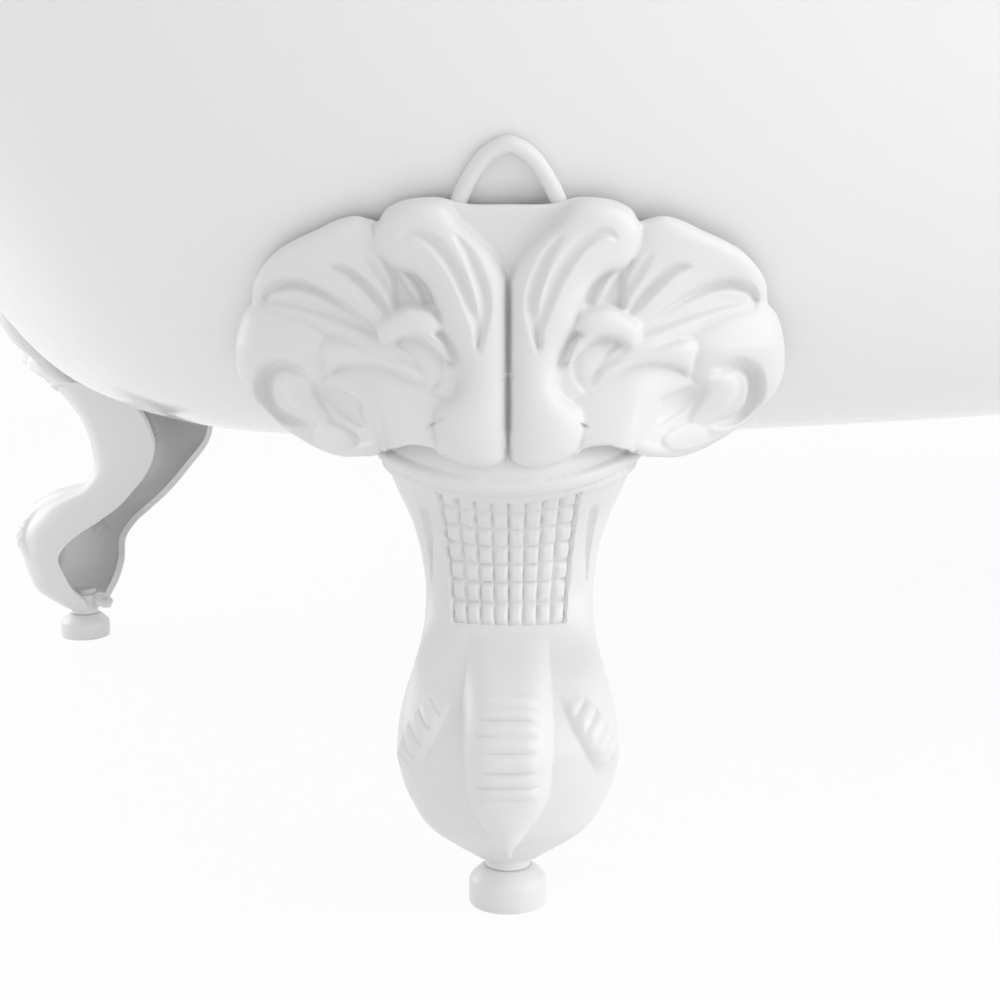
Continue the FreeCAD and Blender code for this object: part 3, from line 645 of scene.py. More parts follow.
@dataclass
class Crown:
    """Leafed crown of a foot: a carved plate with two stems, fans and volutes."""

    outline: Line = (
        (0.0, 221.5), (11.0, 221.5), (16.5, 222.5), (20.5, 223.5), (26.0, 223.5), (32.0, 222.5),
        (37.0, 220.0), (39.5, 216.5), *FAN_EDGE, (82.0, 192.5), *VOLUTE_EDGE, (46.5, 143.3), (42.0, 143.8),
        (37.0, 146.0), (32.0, 147.8), (27.0, 147.8), (23.0, 146.8), (20.5, 144.5), (14.0, 142.0),
        (8.0, 141.0), (3.0, 142.0), (0.0, 144.5),
    )
    middle: float = 170.0
    front: float = 1.0
    fall: float = 31.0
    lean: float = 32.0
    lean_top: float = 178.0
    lean_run: float = 35.0
    lean_ease: float = 0.15
    sight: float = 520.0
    eye_level: float = 217.7
    curl_band: Point = (38.0, 64.0)
    half_width: float = 88.5
    backing: float = 4.0
    blend: float = 7.0
    thickness: float = 6.0
    least_thickness: float = 0.8
    wall_depth: float = 12.5
    least_wall: float = 0.2
    wall_share: float = 0.05
    wall_foot: Point = (0.9, 1.1)
    edge_drop: float = 2.0
    edge_power: int = 40
    gather: float = 0.9
    clearance: float = 0.6
    columns: int = 640
    front_rows: int = 128
    back_rows: int = 12
    wall_rows: int = 3
    pitch: float = 0.4
    margin: float = 4.0
    softness: float = 0.42
    gauge_margin: float = 12.0
    gauge_heights: Point = (130.0, 232.0)
    gauge_columns: int = 21
    gauge_rows: int = 35

    def leaves(self) -> tuple[Leaf, ...]:
        """Lists the leaves of one half.

        Returns:
            The leaves in the order they are laid.
        """
        return (
            Leaf("volute", (
                *VOLUTE_EDGE, (45.5, 144.0), (40.0, 146.0), (37.0, 150.5), (42.0, 158.5), (49.5, 163.0),
                (58.0, 166.5), (56.5, 169.5), (57.5, 174.5), (54.5, 180.0), (61.0, 184.5), (71.0, 188.5)),
                0.0, 0.55, 9.0),
            Leaf("volute bowl", (
                (59.5, 166.0), (64.5, 170.0), (71.0, 171.0), (77.0, 169.0), (79.5, 164.5), (78.5, 158.0),
                (74.0, 152.5), (67.5, 149.5), (61.0, 148.0), (54.0, 146.5), (46.5, 147.0), (41.0, 149.0),
                (39.5, 153.0), (43.5, 158.5), (50.5, 163.0)), -1.5, 0.45, 6.0, Lay.DISH),
            Leaf("volute pocket", (
                (41.5, 154.5), (45.0, 160.5), (51.5, 164.0), (58.5, 165.5), (58.0, 161.5), (53.0, 157.0),
                (46.5, 153.0)), -2.5, 1.0, 6.0, Lay.DISH),
            Leaf("volute knob", (
                (49.0, 147.0), (48.0, 150.0), (51.5, 153.0), (56.5, 154.0), (61.0, 152.0), (61.0, 148.5),
                (55.0, 145.5)), 0.0, 1.4, 6.0, Lay.ADD),
            Leaf("volute tongue", (
                (61.5, 168.0), (68.5, 169.0), (72.5, 166.0), (70.5, 160.5), (65.0, 156.0), (59.0, 153.0),
                (56.0, 154.5), (59.0, 160.0), (61.0, 164.0)), 0.0, 1.2, 6.0, Lay.ADD),
            Leaf("bed", (
                (14.0, 144.5), (14.0, 186.0), (30.5, 190.0), (44.5, 176.0), (46.5, 160.0), (40.5, 147.0),
                (30.5, 145.0)), 3.0, 0.0, 1.0),
            Leaf("fan", (
                (40.0, 216.5), *FAN_EDGE, (82.5, 190.5), (79.0, 192.0), (76.5, 194.0), (71.0, 197.0),
                (65.5, 197.5), (58.5, 195.0), (49.5, 189.5), (42.0, 184.5), (38.5, 182.5), (36.0, 186.0),
                (34.5, 190.5), (35.0, 197.5), (37.0, 202.5), (39.5, 210.0)), 0.5, 0.5, 7.0),
            Leaf("rib", (
                (82.5, 191.0), (71.0, 188.5), (61.0, 184.5), (55.5, 181.0), (50.5, 179.0), (47.5, 175.0),
                (42.0, 172.5), (35.5, 170.0), (28.0, 166.5), (24.0, 163.5), (25.5, 168.5), (28.0, 172.5),
                (33.0, 176.0), (38.5, 180.5), (47.5, 184.0), (58.5, 187.5), (71.0, 190.5)), 1.0, 0.8, 6.0),
            Leaf("band", (
                (20.0, 145.5), (18.0, 152.5), (18.0, 158.5), (20.0, 163.0), (30.5, 168.0), (38.5, 172.0),
                (47.5, 172.5), (55.5, 169.0), (58.0, 166.5), (49.5, 163.0), (42.0, 158.5), (39.0, 150.5),
                (36.0, 144.5)), 2.0, 0.3, 4.0, Lay.OVER, (0.06, -0.22)),
            Leaf("lobe", (
                (20.0, 175.0), (23.0, 179.0), (28.0, 181.0), (34.5, 180.0), (30.5, 176.0), (27.5, 170.5),
                (25.0, 164.0), (21.5, 167.0), (20.0, 171.5)), 0.5, 0.8, 6.0),
            Leaf("eyelet", (
                (34.5, 202.5), (29.5, 201.0), (25.5, 198.0), (23.0, 192.5), (25.0, 191.0), (29.5, 191.5),
                (34.5, 190.5), (35.0, 197.5)), -1.5, 0.0, 1.0),
            Leaf("vein", (
                (34.5, 202.0), (32.0, 197.5), (28.0, 191.0), (25.5, 191.0), (28.0, 197.5), (32.0, 201.5)),
                0.0, 1.7, 6.0, Lay.ADD),
            Leaf("stem", (
                (0.5, 146.0), (0.5, 160.0), (0.5, 180.0), (0.5, 196.0), (1.5, 201.0), (4.5, 206.5),
                (9.5, 212.0), (15.0, 216.5), (16.5, 219.0), (20.0, 222.5), (26.0, 223.5), (34.5, 221.5),
                (38.5, 218.0), (40.0, 216.0), (39.5, 208.5), (35.0, 202.5), (29.5, 201.0), (25.5, 198.0),
                (23.0, 193.0), (21.0, 187.5), (22.0, 184.5), (19.0, 182.0), (15.5, 176.0), (14.5, 169.5),
                (16.0, 164.0), (19.5, 161.5), (22.0, 159.5), (23.2, 155.5), (22.8, 151.0), (21.5, 147.5),
                (16.5, 143.5), (8.5, 141.0), (2.5, 142.5)), 2.0, 0.95, 12.0),
            Leaf("tip", (
                (20.0, 184.0), (22.0, 188.5), (26.0, 190.5), (30.5, 191.0), (35.5, 188.5), (40.5, 184.0),
                (37.5, 178.5), (33.0, 181.0), (28.0, 181.5), (23.0, 178.5), (19.5, 175.0), (17.5, 172.0),
                (17.5, 175.0), (19.5, 180.0), (22.0, 183.0)), 6.0, 0.9, 6.0),
            Leaf("hook", (
                (26.5, 167.5), (29.5, 172.5), (38.5, 175.5), (48.5, 179.0), (55.5, 180.5), (58.0, 178.0),
                (57.5, 173.5), (56.0, 168.5), (54.0, 171.0), (49.0, 172.5), (42.0, 173.0), (34.0, 171.0)),
                3.0, 0.9, 6.0),
        )

    def grooves(self) -> tuple[Groove, ...]:
        """Lists the grooves of one half.

        Returns:
            The grooves in the order they are cut.
        """
        return (
            Groove("volute crescent", (
                (64.0, 171.0), (73.0, 171.5), (78.0, 167.0), (77.5, 159.0), (72.0, 154.5), (63.5, 153.0)),
                3.2, 8.0),
            Groove("outer flute", (
                (32.5, 211.0), (29.5, 213.0), (25.0, 212.0), (20.0, 208.0), (15.0, 200.5), (11.5, 192.0),
                (9.0, 184.0), (9.0, 177.5)), 2.2, 2.6),
            Groove("inner flute", (
                (16.0, 212.5), (12.0, 207.0), (8.5, 199.0), (7.0, 192.0), (8.0, 184.0), (9.5, 178.0)),
                2.2, 2.6),
            Groove("fan cut", (
                (55.5, 203.0), (49.5, 201.5), (43.5, 196.5), (39.5, 192.0), (36.5, 188.0)), 2.2, 4.0),
            Groove("fan line", ((43.5, 207.0), (40.0, 202.0), (37.0, 197.5), (35.0, 193.0)), 1.8, 1.6),
            Groove("fan edge", (
                (77.0, 189.5), (77.5, 193.0), (74.0, 196.0), (67.0, 197.0), (59.0, 195.0), (50.5, 190.5),
                (43.0, 185.5)), 1.9, 3.2),
            Groove("tip cut", (
                (17.5, 173.0), (19.5, 177.0), (22.5, 180.0), (28.0, 182.0), (33.5, 181.5)), 1.5, 1.2),
        )

    def carving(self) -> Relief:
        """Carves one half of the crown.

        Returns:
            The carving.
        """
        low = min(rise for _, rise in self.outline) - self.margin
        high = max(rise for _, rise in self.outline) + self.margin
        relief = Relief(self.half_width + self.margin, low, high, self.pitch)
        for leaf in self.leaves():
            relief.lay(leaf)
        for groove in self.grooves():
            relief.cut(groove)
        relief.soften(self.softness)
        return relief

    def sweep(self, side: np.ndarray) -> np.ndarray:
        """How far the plain plate curves back to the sides."""
        return self.fall * (side / self.half_width) ** 2

    def curl(self, side: np.ndarray, rise: np.ndarray) -> np.ndarray:
        """How much further the plain plate curls back under the volutes."""
        under = np.clip((self.lean_top - rise) / self.lean_run, 0, None)
        return self.lean * under**2 / (under + self.lean_ease) * smoothstep(*self.curl_band, np.abs(side))

    def edge(self, turn: np.ndarray) -> np.ndarray:
        """Reads the outline from the crown's middle.

        Args:
            turn: Turns round the middle.

        Returns:
            How far the outline lies from the middle at each turn.
        """
        half = rounded(self.outline, closed=False, steps=10)
        whole = np.vstack([half, (half * (-1, 1))[::-1]])
        angles = np.arctan2(whole[:, 1] - self.middle, whole[:, 0])
        radii = np.hypot(whole[:, 0], whole[:, 1] - self.middle)
        order = np.argsort(angles)
        return np.interp(turn, angles[order], radii[order], period=2 * math.pi)

    def skin_reach(self, gauge: HullGauge, side: np.ndarray, rise: np.ndarray) -> np.ndarray:
        """Measures the bath's outside behind each place, on a coarse grid.

        Args:
            gauge: Measures the bath's outside.
            side: Sideways places.
            rise: Heights above the floor.

        Returns:
            The outward reach of the bath's outside at each place.
        """
        across = np.linspace(0.0, self.half_width + self.gauge_margin, self.gauge_columns)
        up = np.linspace(*self.gauge_heights, self.gauge_rows)
        table = np.array([[gauge.reach(a, z) for a in across] for z in up])
        table[:-1] = np.maximum(table[:-1], table[1:])
        column = np.abs(side) / across[-1] * (len(across) - 1)
        row = (rise - up[0]) / (up[-1] - up[0]) * (len(up) - 1)
        return between(table, column, row)

    def build(self, gauge: HullGauge) -> bpy.types.Object:
        """Builds the crown in the foot's own frame.

        The outline and carving are drawn as seen from in front, so what curls back grows about the eye.

        Args:
            gauge: Measures the bath's outside behind the crown.

        Returns:
            The crown as a closed piece.
        """
        relief = self.carving()
        rows = self.front_rows + self.back_rows
        piece, around, up = sheet("crown", self.columns, rows)
        turn = (around * 2 - 1) * math.pi
        edge = self.edge(turn)
        share = self.front_rows / rows
        behind_row = np.rint((up - share) * rows)
        before = behind_row < 0
        inward = (behind_row - self.wall_rows) / (self.back_rows - self.wall_rows)
        inner = (1 - self.wall_share) * (1 - inward)
        wall_near, wall_far = (1 - part * self.wall_share for part in self.wall_foot)
        spread = np.select(
            [before, behind_row <= 1, behind_row == 2, behind_row == self.wall_rows],
            [up / share, 1.0, wall_near, wall_far],
            inner,
        )
        spread = np.clip(spread, 0, 1)
        reach = np.where(before, np.sin(spread * math.pi / 2) ** self.gather, spread)
        drawn_side = reach * edge * np.cos(turn)
        drawn_rise = self.middle + reach * edge * np.sin(turn)
        curl = self.curl(drawn_side, drawn_rise)
        growth = 1 + curl / self.sight
        side = drawn_side * growth
        rise = self.eye_level - (self.eye_level - drawn_rise) * growth
        skin = self.skin_reach(gauge, side, rise)
        plain = self.front - self.sweep(drawn_side) - curl
        plate = larger(plain, skin + self.clearance + self.backing, self.blend)
        face = plate + relief.read(drawn_side, drawn_rise)
        behind = np.maximum(plate - self.thickness, skin + self.clearance)
        lip = plate - self.edge_drop
        foot = np.maximum(plate - self.wall_depth, skin + self.clearance)
        front = np.maximum(face, behind + self.least_thickness)
        ahead = lip + (front - lip) * np.sqrt(np.clip(1 - reach**self.edge_power, 0, 1))
        back = np.where(spread > 1 - self.wall_share, foot, behind)
        outward = np.where(before, np.maximum(ahead, foot + self.least_wall), back)
        settle(piece, np.column_stack([side, outward, rise]))
        return piece


@dataclass
class Loop:
    """Pointed arch of slim bead that stands on the crown against the bath."""

    arch: Line = (
        (-1.0, 0.0), (-1.0, 0.2), (-0.86, 0.5), (-0.48, 0.84), (-0.14, 0.98), (0.14, 0.98), (0.48, 0.84),
        (0.86, 0.5), (1.0, 0.2), (1.0, 0.0),
    )
    bead: float = 2.6
    half_width: float = 16.8
    foot: float = 209.0
    apex: float = 241.5
    clearance: float = 0.6
    around: int = 24
    along: int = 120

    def build(self, gauge: HullGauge) -> bpy.types.Object:
        """Builds the loop in the foot's own frame.

        Args:
            gauge: Measures the bath's outside behind the loop.

        Returns:
            The loop as a bent tube.
        """
        line = rounded(self.arch, closed=False, steps=16)
        side = line[:, 0] * self.half_width
        rise = self.foot + line[:, 1] * (self.apex - self.bead - self.foot)
        out = np.array([gauge.reach(a, z) for a, z in zip(side, rise)]) + self.bead + self.clearance
        spine = np.column_stack([side, out, rise])
        piece, across, up = sheet("loop", self.around, self.along)
        place = up * (len(spine) - 1)
        mark = np.clip(place.astype(int), 0, len(spine) - 2)
        blend = (place - mark)[:, None]
        middle = spine[mark] * (1 - blend) + spine[mark + 1] * blend
        run = np.gradient(spine, axis=0)
        run = run[mark] * (1 - blend) + run[mark + 1] * blend
        run /= np.linalg.norm(run, axis=1)[:, None]
        outward = np.tile([0.0, 1.0, 0.0], (len(run), 1))
        across_way = np.cross(run, outward)
        across_way /= np.linalg.norm(across_way, axis=1)[:, None]
        out_way = np.cross(across_way, run)
        turn = (across * 2 * math.pi)[:, None]
        places = middle + self.bead * (np.cos(turn) * across_way + np.sin(turn) * out_way)
        settle(piece, places, flip=True)
        return piece


@dataclass(frozen=True)
class LegLevel:
    """One level of the leg: front reach, reach and size of the half width, back reach and half opening."""

    rise: float
    front: float
    widest_at: float
    half_width: float
    back: float
    opening: float


@dataclass(frozen=True)
class ToeLevel:
    """One level of the middle toe: its half width and how far it stands out."""

    rise: float
    half_width: float
    stand: float


@dataclass(frozen=True)
class Band:
    """One half-round band of the collar."""

    middle: float
    half_height: float
    stand: float


def levelled(levels: tuple[LegLevel, ...] | tuple[ToeLevel, ...], size: str, rise: np.ndarray) -> np.ndarray:
    """Reads one size of some levels at other heights.

    Args:
        levels: Rising levels.
        size: The size's name.
        rise: Heights above the floor.

    Returns:
        The size at each height.
    """
    heights = np.array([level.rise for level in levels])
    return through(heights, np.array([getattr(level, size) for level in levels]), rise)


@dataclass(frozen=True)
class Panel:
    """Squared panel on the front of the ankle: a shallow recess with rows of pillowed squares."""

    low: float = 87.5
    high: float = 133.0
    sag: float = 3.5
    half_low: float = 18.4
    half_high: float = 22.5
    columns: int = 8
    rows: int = 7
    depth: float = 2.2
    pillow: float = 1.9
    pillow_power: int = 4
    side_edge: Point = (1.02, 0.99)
    foot_edge: Point = (-0.015, 0.01)
    head_edge: Point = (1.015, 0.99)

    def carve(self, side: np.ndarray, rise: np.ndarray, ahead: np.ndarray) -> np.ndarray:
        """Carves the panel.

        Args:
            side: Sideways places.
            rise: Heights above the floor.
            ahead: 1 on the front of the leg and 0 behind it.

        Returns:
            How far the surface stands out at each place.
        """
        top = self.high - self.sag * np.clip(1 - (side / self.half_high) ** 2, 0, 1)
        up = (rise - self.low) / (top - self.low)
        half = self.half_low + (self.half_high - self.half_low) * np.clip(up, 0, 1)
        across = side / half
        soft_side = smoothstep(*self.side_edge, np.abs(across))
        soft_up = smoothstep(*self.foot_edge, up) * smoothstep(*self.head_edge, up)
        inside = soft_side * soft_up * ahead
        cell = 2 * np.abs((across * self.columns / 2) % 1 - 0.5)
        row = 2 * np.abs((up * self.rows) % 1 - 0.5)
        pillow = (1 - cell**self.pillow_power) * (1 - row**self.pillow_power)
        return inside * (self.pillow * pillow - self.depth)


@dataclass(frozen=True)
class Flute:
    """Tapered groove down each side of the ankle, placed by its share of the way round to the side."""

    foot: Point = (95.0, 105.0)
    head: Point = (128.0, 122.0)
    widening: Point = (96.0, 120.0)
    half_low: float = 0.01
    half_gain: float = 0.04
    middle: float = 0.64
    middle_at: float = 114.0
    drift: float = 0.0058
    depth: float = 1.8

    def carve(self, share: np.ndarray, rise: np.ndarray) -> np.ndarray:
        """Carves both flutes.

        Args:
            share: Share of the way round from the front to the side.
            rise: Heights above the floor.

        Returns:
            How far the surface stands out at each place.
        """
        half = self.half_gain * smoothstep(*self.widening, rise) + self.half_low
        middle = self.middle - self.drift * (rise - self.middle_at)
        depth = np.clip(1 - ((share - middle) / half) ** 2, 0, None)
        return -self.depth * depth * smoothstep(*self.foot, rise) * smoothstep(*self.head, rise)


@dataclass(frozen=True)
class Ribs:
    """Row of half-round ribs with sharp creases between them, across a toe."""

    low: float = 37.8
    count: int = 7
    pitch: float = 4.0
    stand: float = 2.0
    fade: float = 0.2
    crease: float = 0.98
    sunk: float = 0.6

    def carve(self, level: np.ndarray) -> np.ndarray:
        """Carves the ribs.

        Args:
            level: Levels along the toe.

        Returns:
            How far the surface stands out at each level, as a share of the ribs' height.
        """
        place = (level - self.low) / self.pitch
        over = 2 * (place % 1) - 1
        rising = smoothstep(-self.fade, self.fade, place)
        inside = rising * smoothstep(self.count + self.fade, self.count - self.fade, place)
        return inside * (np.sqrt(1 - self.crease * over**2) - self.sunk)


@dataclass(frozen=True)
class MiddleToe:
    """Middle toe with its claw: a soft ridge with ribs across it."""

    levels: tuple[ToeLevel, ...] = (
        ToeLevel(18.0, 1.0, 0.0),
        ToeLevel(24.0, 2.0, 1.8),
        ToeLevel(30.0, 5.5, 4.4),
        ToeLevel(36.0, 9.5, 6.0),
        ToeLevel(42.0, 12.2, 6.5),
        ToeLevel(52.0, 13.4, 6.5),
        ToeLevel(62.0, 13.8, 6.2),
        ToeLevel(70.0, 13.6, 5.4),
        ToeLevel(77.0, 13.2, 3.2),
        ToeLevel(85.0, 12.5, 0.0),
    )
    flattening: Point = (32.0, 46.0)
    flat_power: int = 4
    claw_power: float = 1.8
    ribbed: Point = (10.0, 5.5)
    rib_tilt: float = 0.29
    ribs: Ribs = Ribs()

    def carve(self, side: np.ndarray, out: np.ndarray, rise: np.ndarray, ahead: np.ndarray) -> np.ndarray:
        """Carves the toe.

        Args:
            side: Sideways places.
            out: Outward places.
            rise: Heights above the floor.
            ahead: 1 on the front of the leg and 0 behind it.

        Returns:
            How far the surface stands out at each place.
        """
        half = levelled(self.levels, "half_width", rise)
        stand = np.where(rise < self.levels[-1].rise, levelled(self.levels, "stand", rise), 0.0)
        flat = smoothstep(*self.flattening, rise)
        over = np.clip(np.abs(side) / half, 0, 1)
        body = stand * ((1 - over**self.flat_power) * flat + (1 - over**self.claw_power) * (1 - flat))
        ribbed = smoothstep(*self.ribbed, np.abs(side))
        ribs = self.ribs.carve(rise - self.rib_tilt * out)
        return ahead * (body + self.ribs.stand * ribbed * ribs)


@dataclass(frozen=True)
class SideToes:
    """The two ribbed toes that lie back along the ball's sides."""

    turn: float = 46.0
    turn_at: float = 65.5
    slant: float = 1.22
    ball_radius: float = 33.0
    widths: Line = ((38.0, 5.5), (44.0, 8.0), (56.0, 8.4), (66.0, 7.0), (74.0, 4.0))
    stand: float = 2.2
    foot: Point = (45.0, 57.0)
    head: Point = (74.0, 62.0)
    power: int = 5
    ribbed: Point = (7.0, 4.0)
    ribs_foot: Point = (43.0, 53.0)
    ribs_head: Point = (72.0, 67.0)
    rib_share: float = 0.7
    rib_slant: float = 0.5
    rib_shift: float = 6.0
    ribs: Ribs = Ribs()

    def carve(self, share: np.ndarray, rise: np.ndarray) -> np.ndarray:
        """Carves both toes.

        Args:
            share: Share of the way round from the front to the side.
            rise: Heights above the floor.

        Returns:
            How far the surface stands out at each place.
        """
        middle = self.turn + (self.turn_at - rise) * self.slant
        gap = np.radians(share * QUARTER_TURN - middle) * self.ball_radius
        half = through(*np.array(self.widths).T, rise)
        stand = self.stand * smoothstep(*self.foot, rise) * smoothstep(*self.head, rise)
        over = np.clip(np.abs(gap) / half, 0, 1)
        ribbed = smoothstep(*self.ribbed, np.abs(gap)) * smoothstep(*self.ribs_foot, rise)
        ribbed = ribbed * smoothstep(*self.ribs_head, rise)
        ribs = self.ribs.carve(rise - self.rib_slant * gap - self.rib_shift)
        return stand * (1 - over**self.power) + self.rib_share * self.ribs.stand * ribbed * ribs


@dataclass
class Leg:
    """Hollow leg of a foot: ball with three ribbed toes, ankle with a squared panel, collar and neck."""

    levels: tuple[LegLevel, ...] = (
        LegLevel(16.0, 8.0, 1.0, 10.0, -8.0, 8.0),
        LegLevel(20.0, 13.0, 0.0, 16.5, -9.0, 10.0),
        LegLevel(27.0, 20.5, 2.0, 25.2, -8.5, 18.0),
        LegLevel(36.0, 23.5, 1.0, 31.2, -8.0, 24.0),
        LegLevel(48.0, 25.5, 1.0, 34.8, -7.0, 27.5),
        LegLevel(58.0, 25.5, 0.5, 34.8, -16.0, 25.5),
        LegLevel(67.0, 18.5, -5.0, 33.2, -29.0, 21.5),
        LegLevel(75.0, 7.5, -12.0, 30.6, -40.0, 19.5),
        LegLevel(82.0, -10.0, -26.0, 28.6, -47.5, 19.5),
        LegLevel(91.0, -19.0, -36.0, 27.9, -56.0, 19.5),
        LegLevel(104.0, -20.0, -38.0, 29.0, -65.0, 23.5),
        LegLevel(118.0, -15.0, -36.0, 32.2, -65.0, 28.5),
        LegLevel(130.0, -5.0, -33.0, 37.0, -62.0, 33.5),
        LegLevel(137.0, 3.0, -31.5, 39.6, -64.0, 36.5),
        LegLevel(143.0, 3.0, -29.5, 41.4, -66.0, 38.0),
        LegLevel(149.0, -1.0, -29.0, 42.0, -66.0, 40.0),
    )
    panel: Panel = Panel()
    flute: Flute = Flute()
    middle_toe: MiddleToe = MiddleToe()
    side_toes: SideToes = SideToes()
    bands: tuple[Band, ...] = (Band(138.7, 1.9, 1.4), Band(143.1, 2.6, 2.2))
    collar_sag: float = 8.2
    neck_top: float = 187.0
    neck_front: float = 147.0
    neck_climb: Point = (0.35, 0.7)
    least_neck: float = 0.5
    wall: float = 3.2
    columns: int = 184
    rows: int = 236
    neck_rows: int = 12
    row_crowding: float = 1.12
    front_pull: float = 0.63
    front_share: float = 0.74
    edge_fade: Point = (1.0, 0.97)
    clearance: float = 0.6

    def section(self, rise: np.ndarray, across: np.ndarray) -> tuple[np.ndarray, np.ndarray]:
        """Plain outline of the leg.

        Args:
            rise: Heights above the floor.
            across: Places round the outline, from one back edge at -1 over the front at 0 to the other at 1.

        Returns:
            Sideways and outward places.
        """
        width = levelled(self.levels, "half_width", rise)
        front = levelled(self.levels, "front", rise)
        widest_at = levelled(self.levels, "widest_at", rise)
        back = levelled(self.levels, "back", rise)
        opening = levelled(self.levels, "opening", rise)
        share = np.abs(across) / self.front_share
        ahead = share <= 1
        turn = np.clip(share, 0, 1) * math.pi / 2
        behind = np.clip((np.abs(across) - self.front_share) / (1 - self.front_share), 0, 1)
        side = np.where(ahead, width * np.sin(turn), width + (opening - width) * behind**2)
        out_ahead = widest_at + (front - widest_at) * np.cos(turn)
        out_behind = widest_at + (back - widest_at) * behind
        return np.sign(across) * side, np.where(ahead, out_ahead, out_behind)

    def collar(self, share: np.ndarray, rise: np.ndarray) -> np.ndarray:
        """Bands at the top of the ankle, a little lower in front.

        Args:
            share: Share of the way round from the front to the side.
            rise: Heights above the floor.

        Returns:
            How far the surface stands out at each place.
        """
        level = rise + self.collar_sag * np.cos(share * math.pi / 2) ** 2
        stands = [
            band.stand * np.sqrt(np.clip(1 - ((level - band.middle) / band.half_height) ** 2, 0, 1))
            for band in self.bands
        ]
        return np.max(stands, axis=0)

    def build(self, gauge: HullGauge) -> bpy.types.Object:
        """Builds the leg in the foot's own frame.

        Args:
            gauge: Measures the bath's underside above the neck.

        Returns:
            The leg as a hollow shell, open at the back.
        """
        piece, across, up = sheet("leg", self.columns, self.rows + self.neck_rows)
        even = across * 2 - 1
        round_place = even * (self.front_pull + (1 - self.front_pull) * even**2)
        from_front = np.abs(round_place)
        low = self.levels[0].rise
        high = self.levels[-1].rise
        share = self.rows / (self.rows + self.neck_rows)
        rise = low + (high - low) * np.clip(up / share, 0, 1) ** self.row_crowding
        side, out = self.section(rise, round_place)
        turn = np.clip(from_front / self.front_share, 0, 1)
        ahead = (from_front < self.front_share).astype(float)
        toes = np.maximum(self.middle_toe.carve(side, out, rise, ahead), self.side_toes.carve(turn, rise))
        carved = self.panel.carve(side, rise, ahead) + self.flute.carve(turn, rise) + toes
        carved = carved * smoothstep(*self.edge_fade, from_front) + self.collar(turn, rise)
        neck = np.clip((up - share) / (1 - share), 0, 1)
        plain = np.column_stack([side, out, rise + neck])
        side, out, rise = (plain + carved[:, None] * outward_normals(plain, self.columns)).T
        climb = smoothstep(*self.neck_climb, from_front)
        limit = self.neck_front + (self.neck_top - self.neck_front) * climb
        for index in np.nonzero(neck > 0)[0]:
            top = gauge.underside(side[index], out[index], limit[index]) - self.clearance
            rise[index] = high + (max(top, high + self.least_neck) - high) * neck[index]
        settle(piece, np.column_stack([side, out, rise]), flip=True)
        shell = piece.modifiers.new("wall", "SOLIDIFY")
        shell.thickness = self.wall * MM
        shell.offset = -1.0
        bpy.ops.object.modifier_apply(modifier=shell.name)
        bpy.ops.object.shade_smooth_by_angle(angle=math.radians(CAST_CREASE))
        return piece


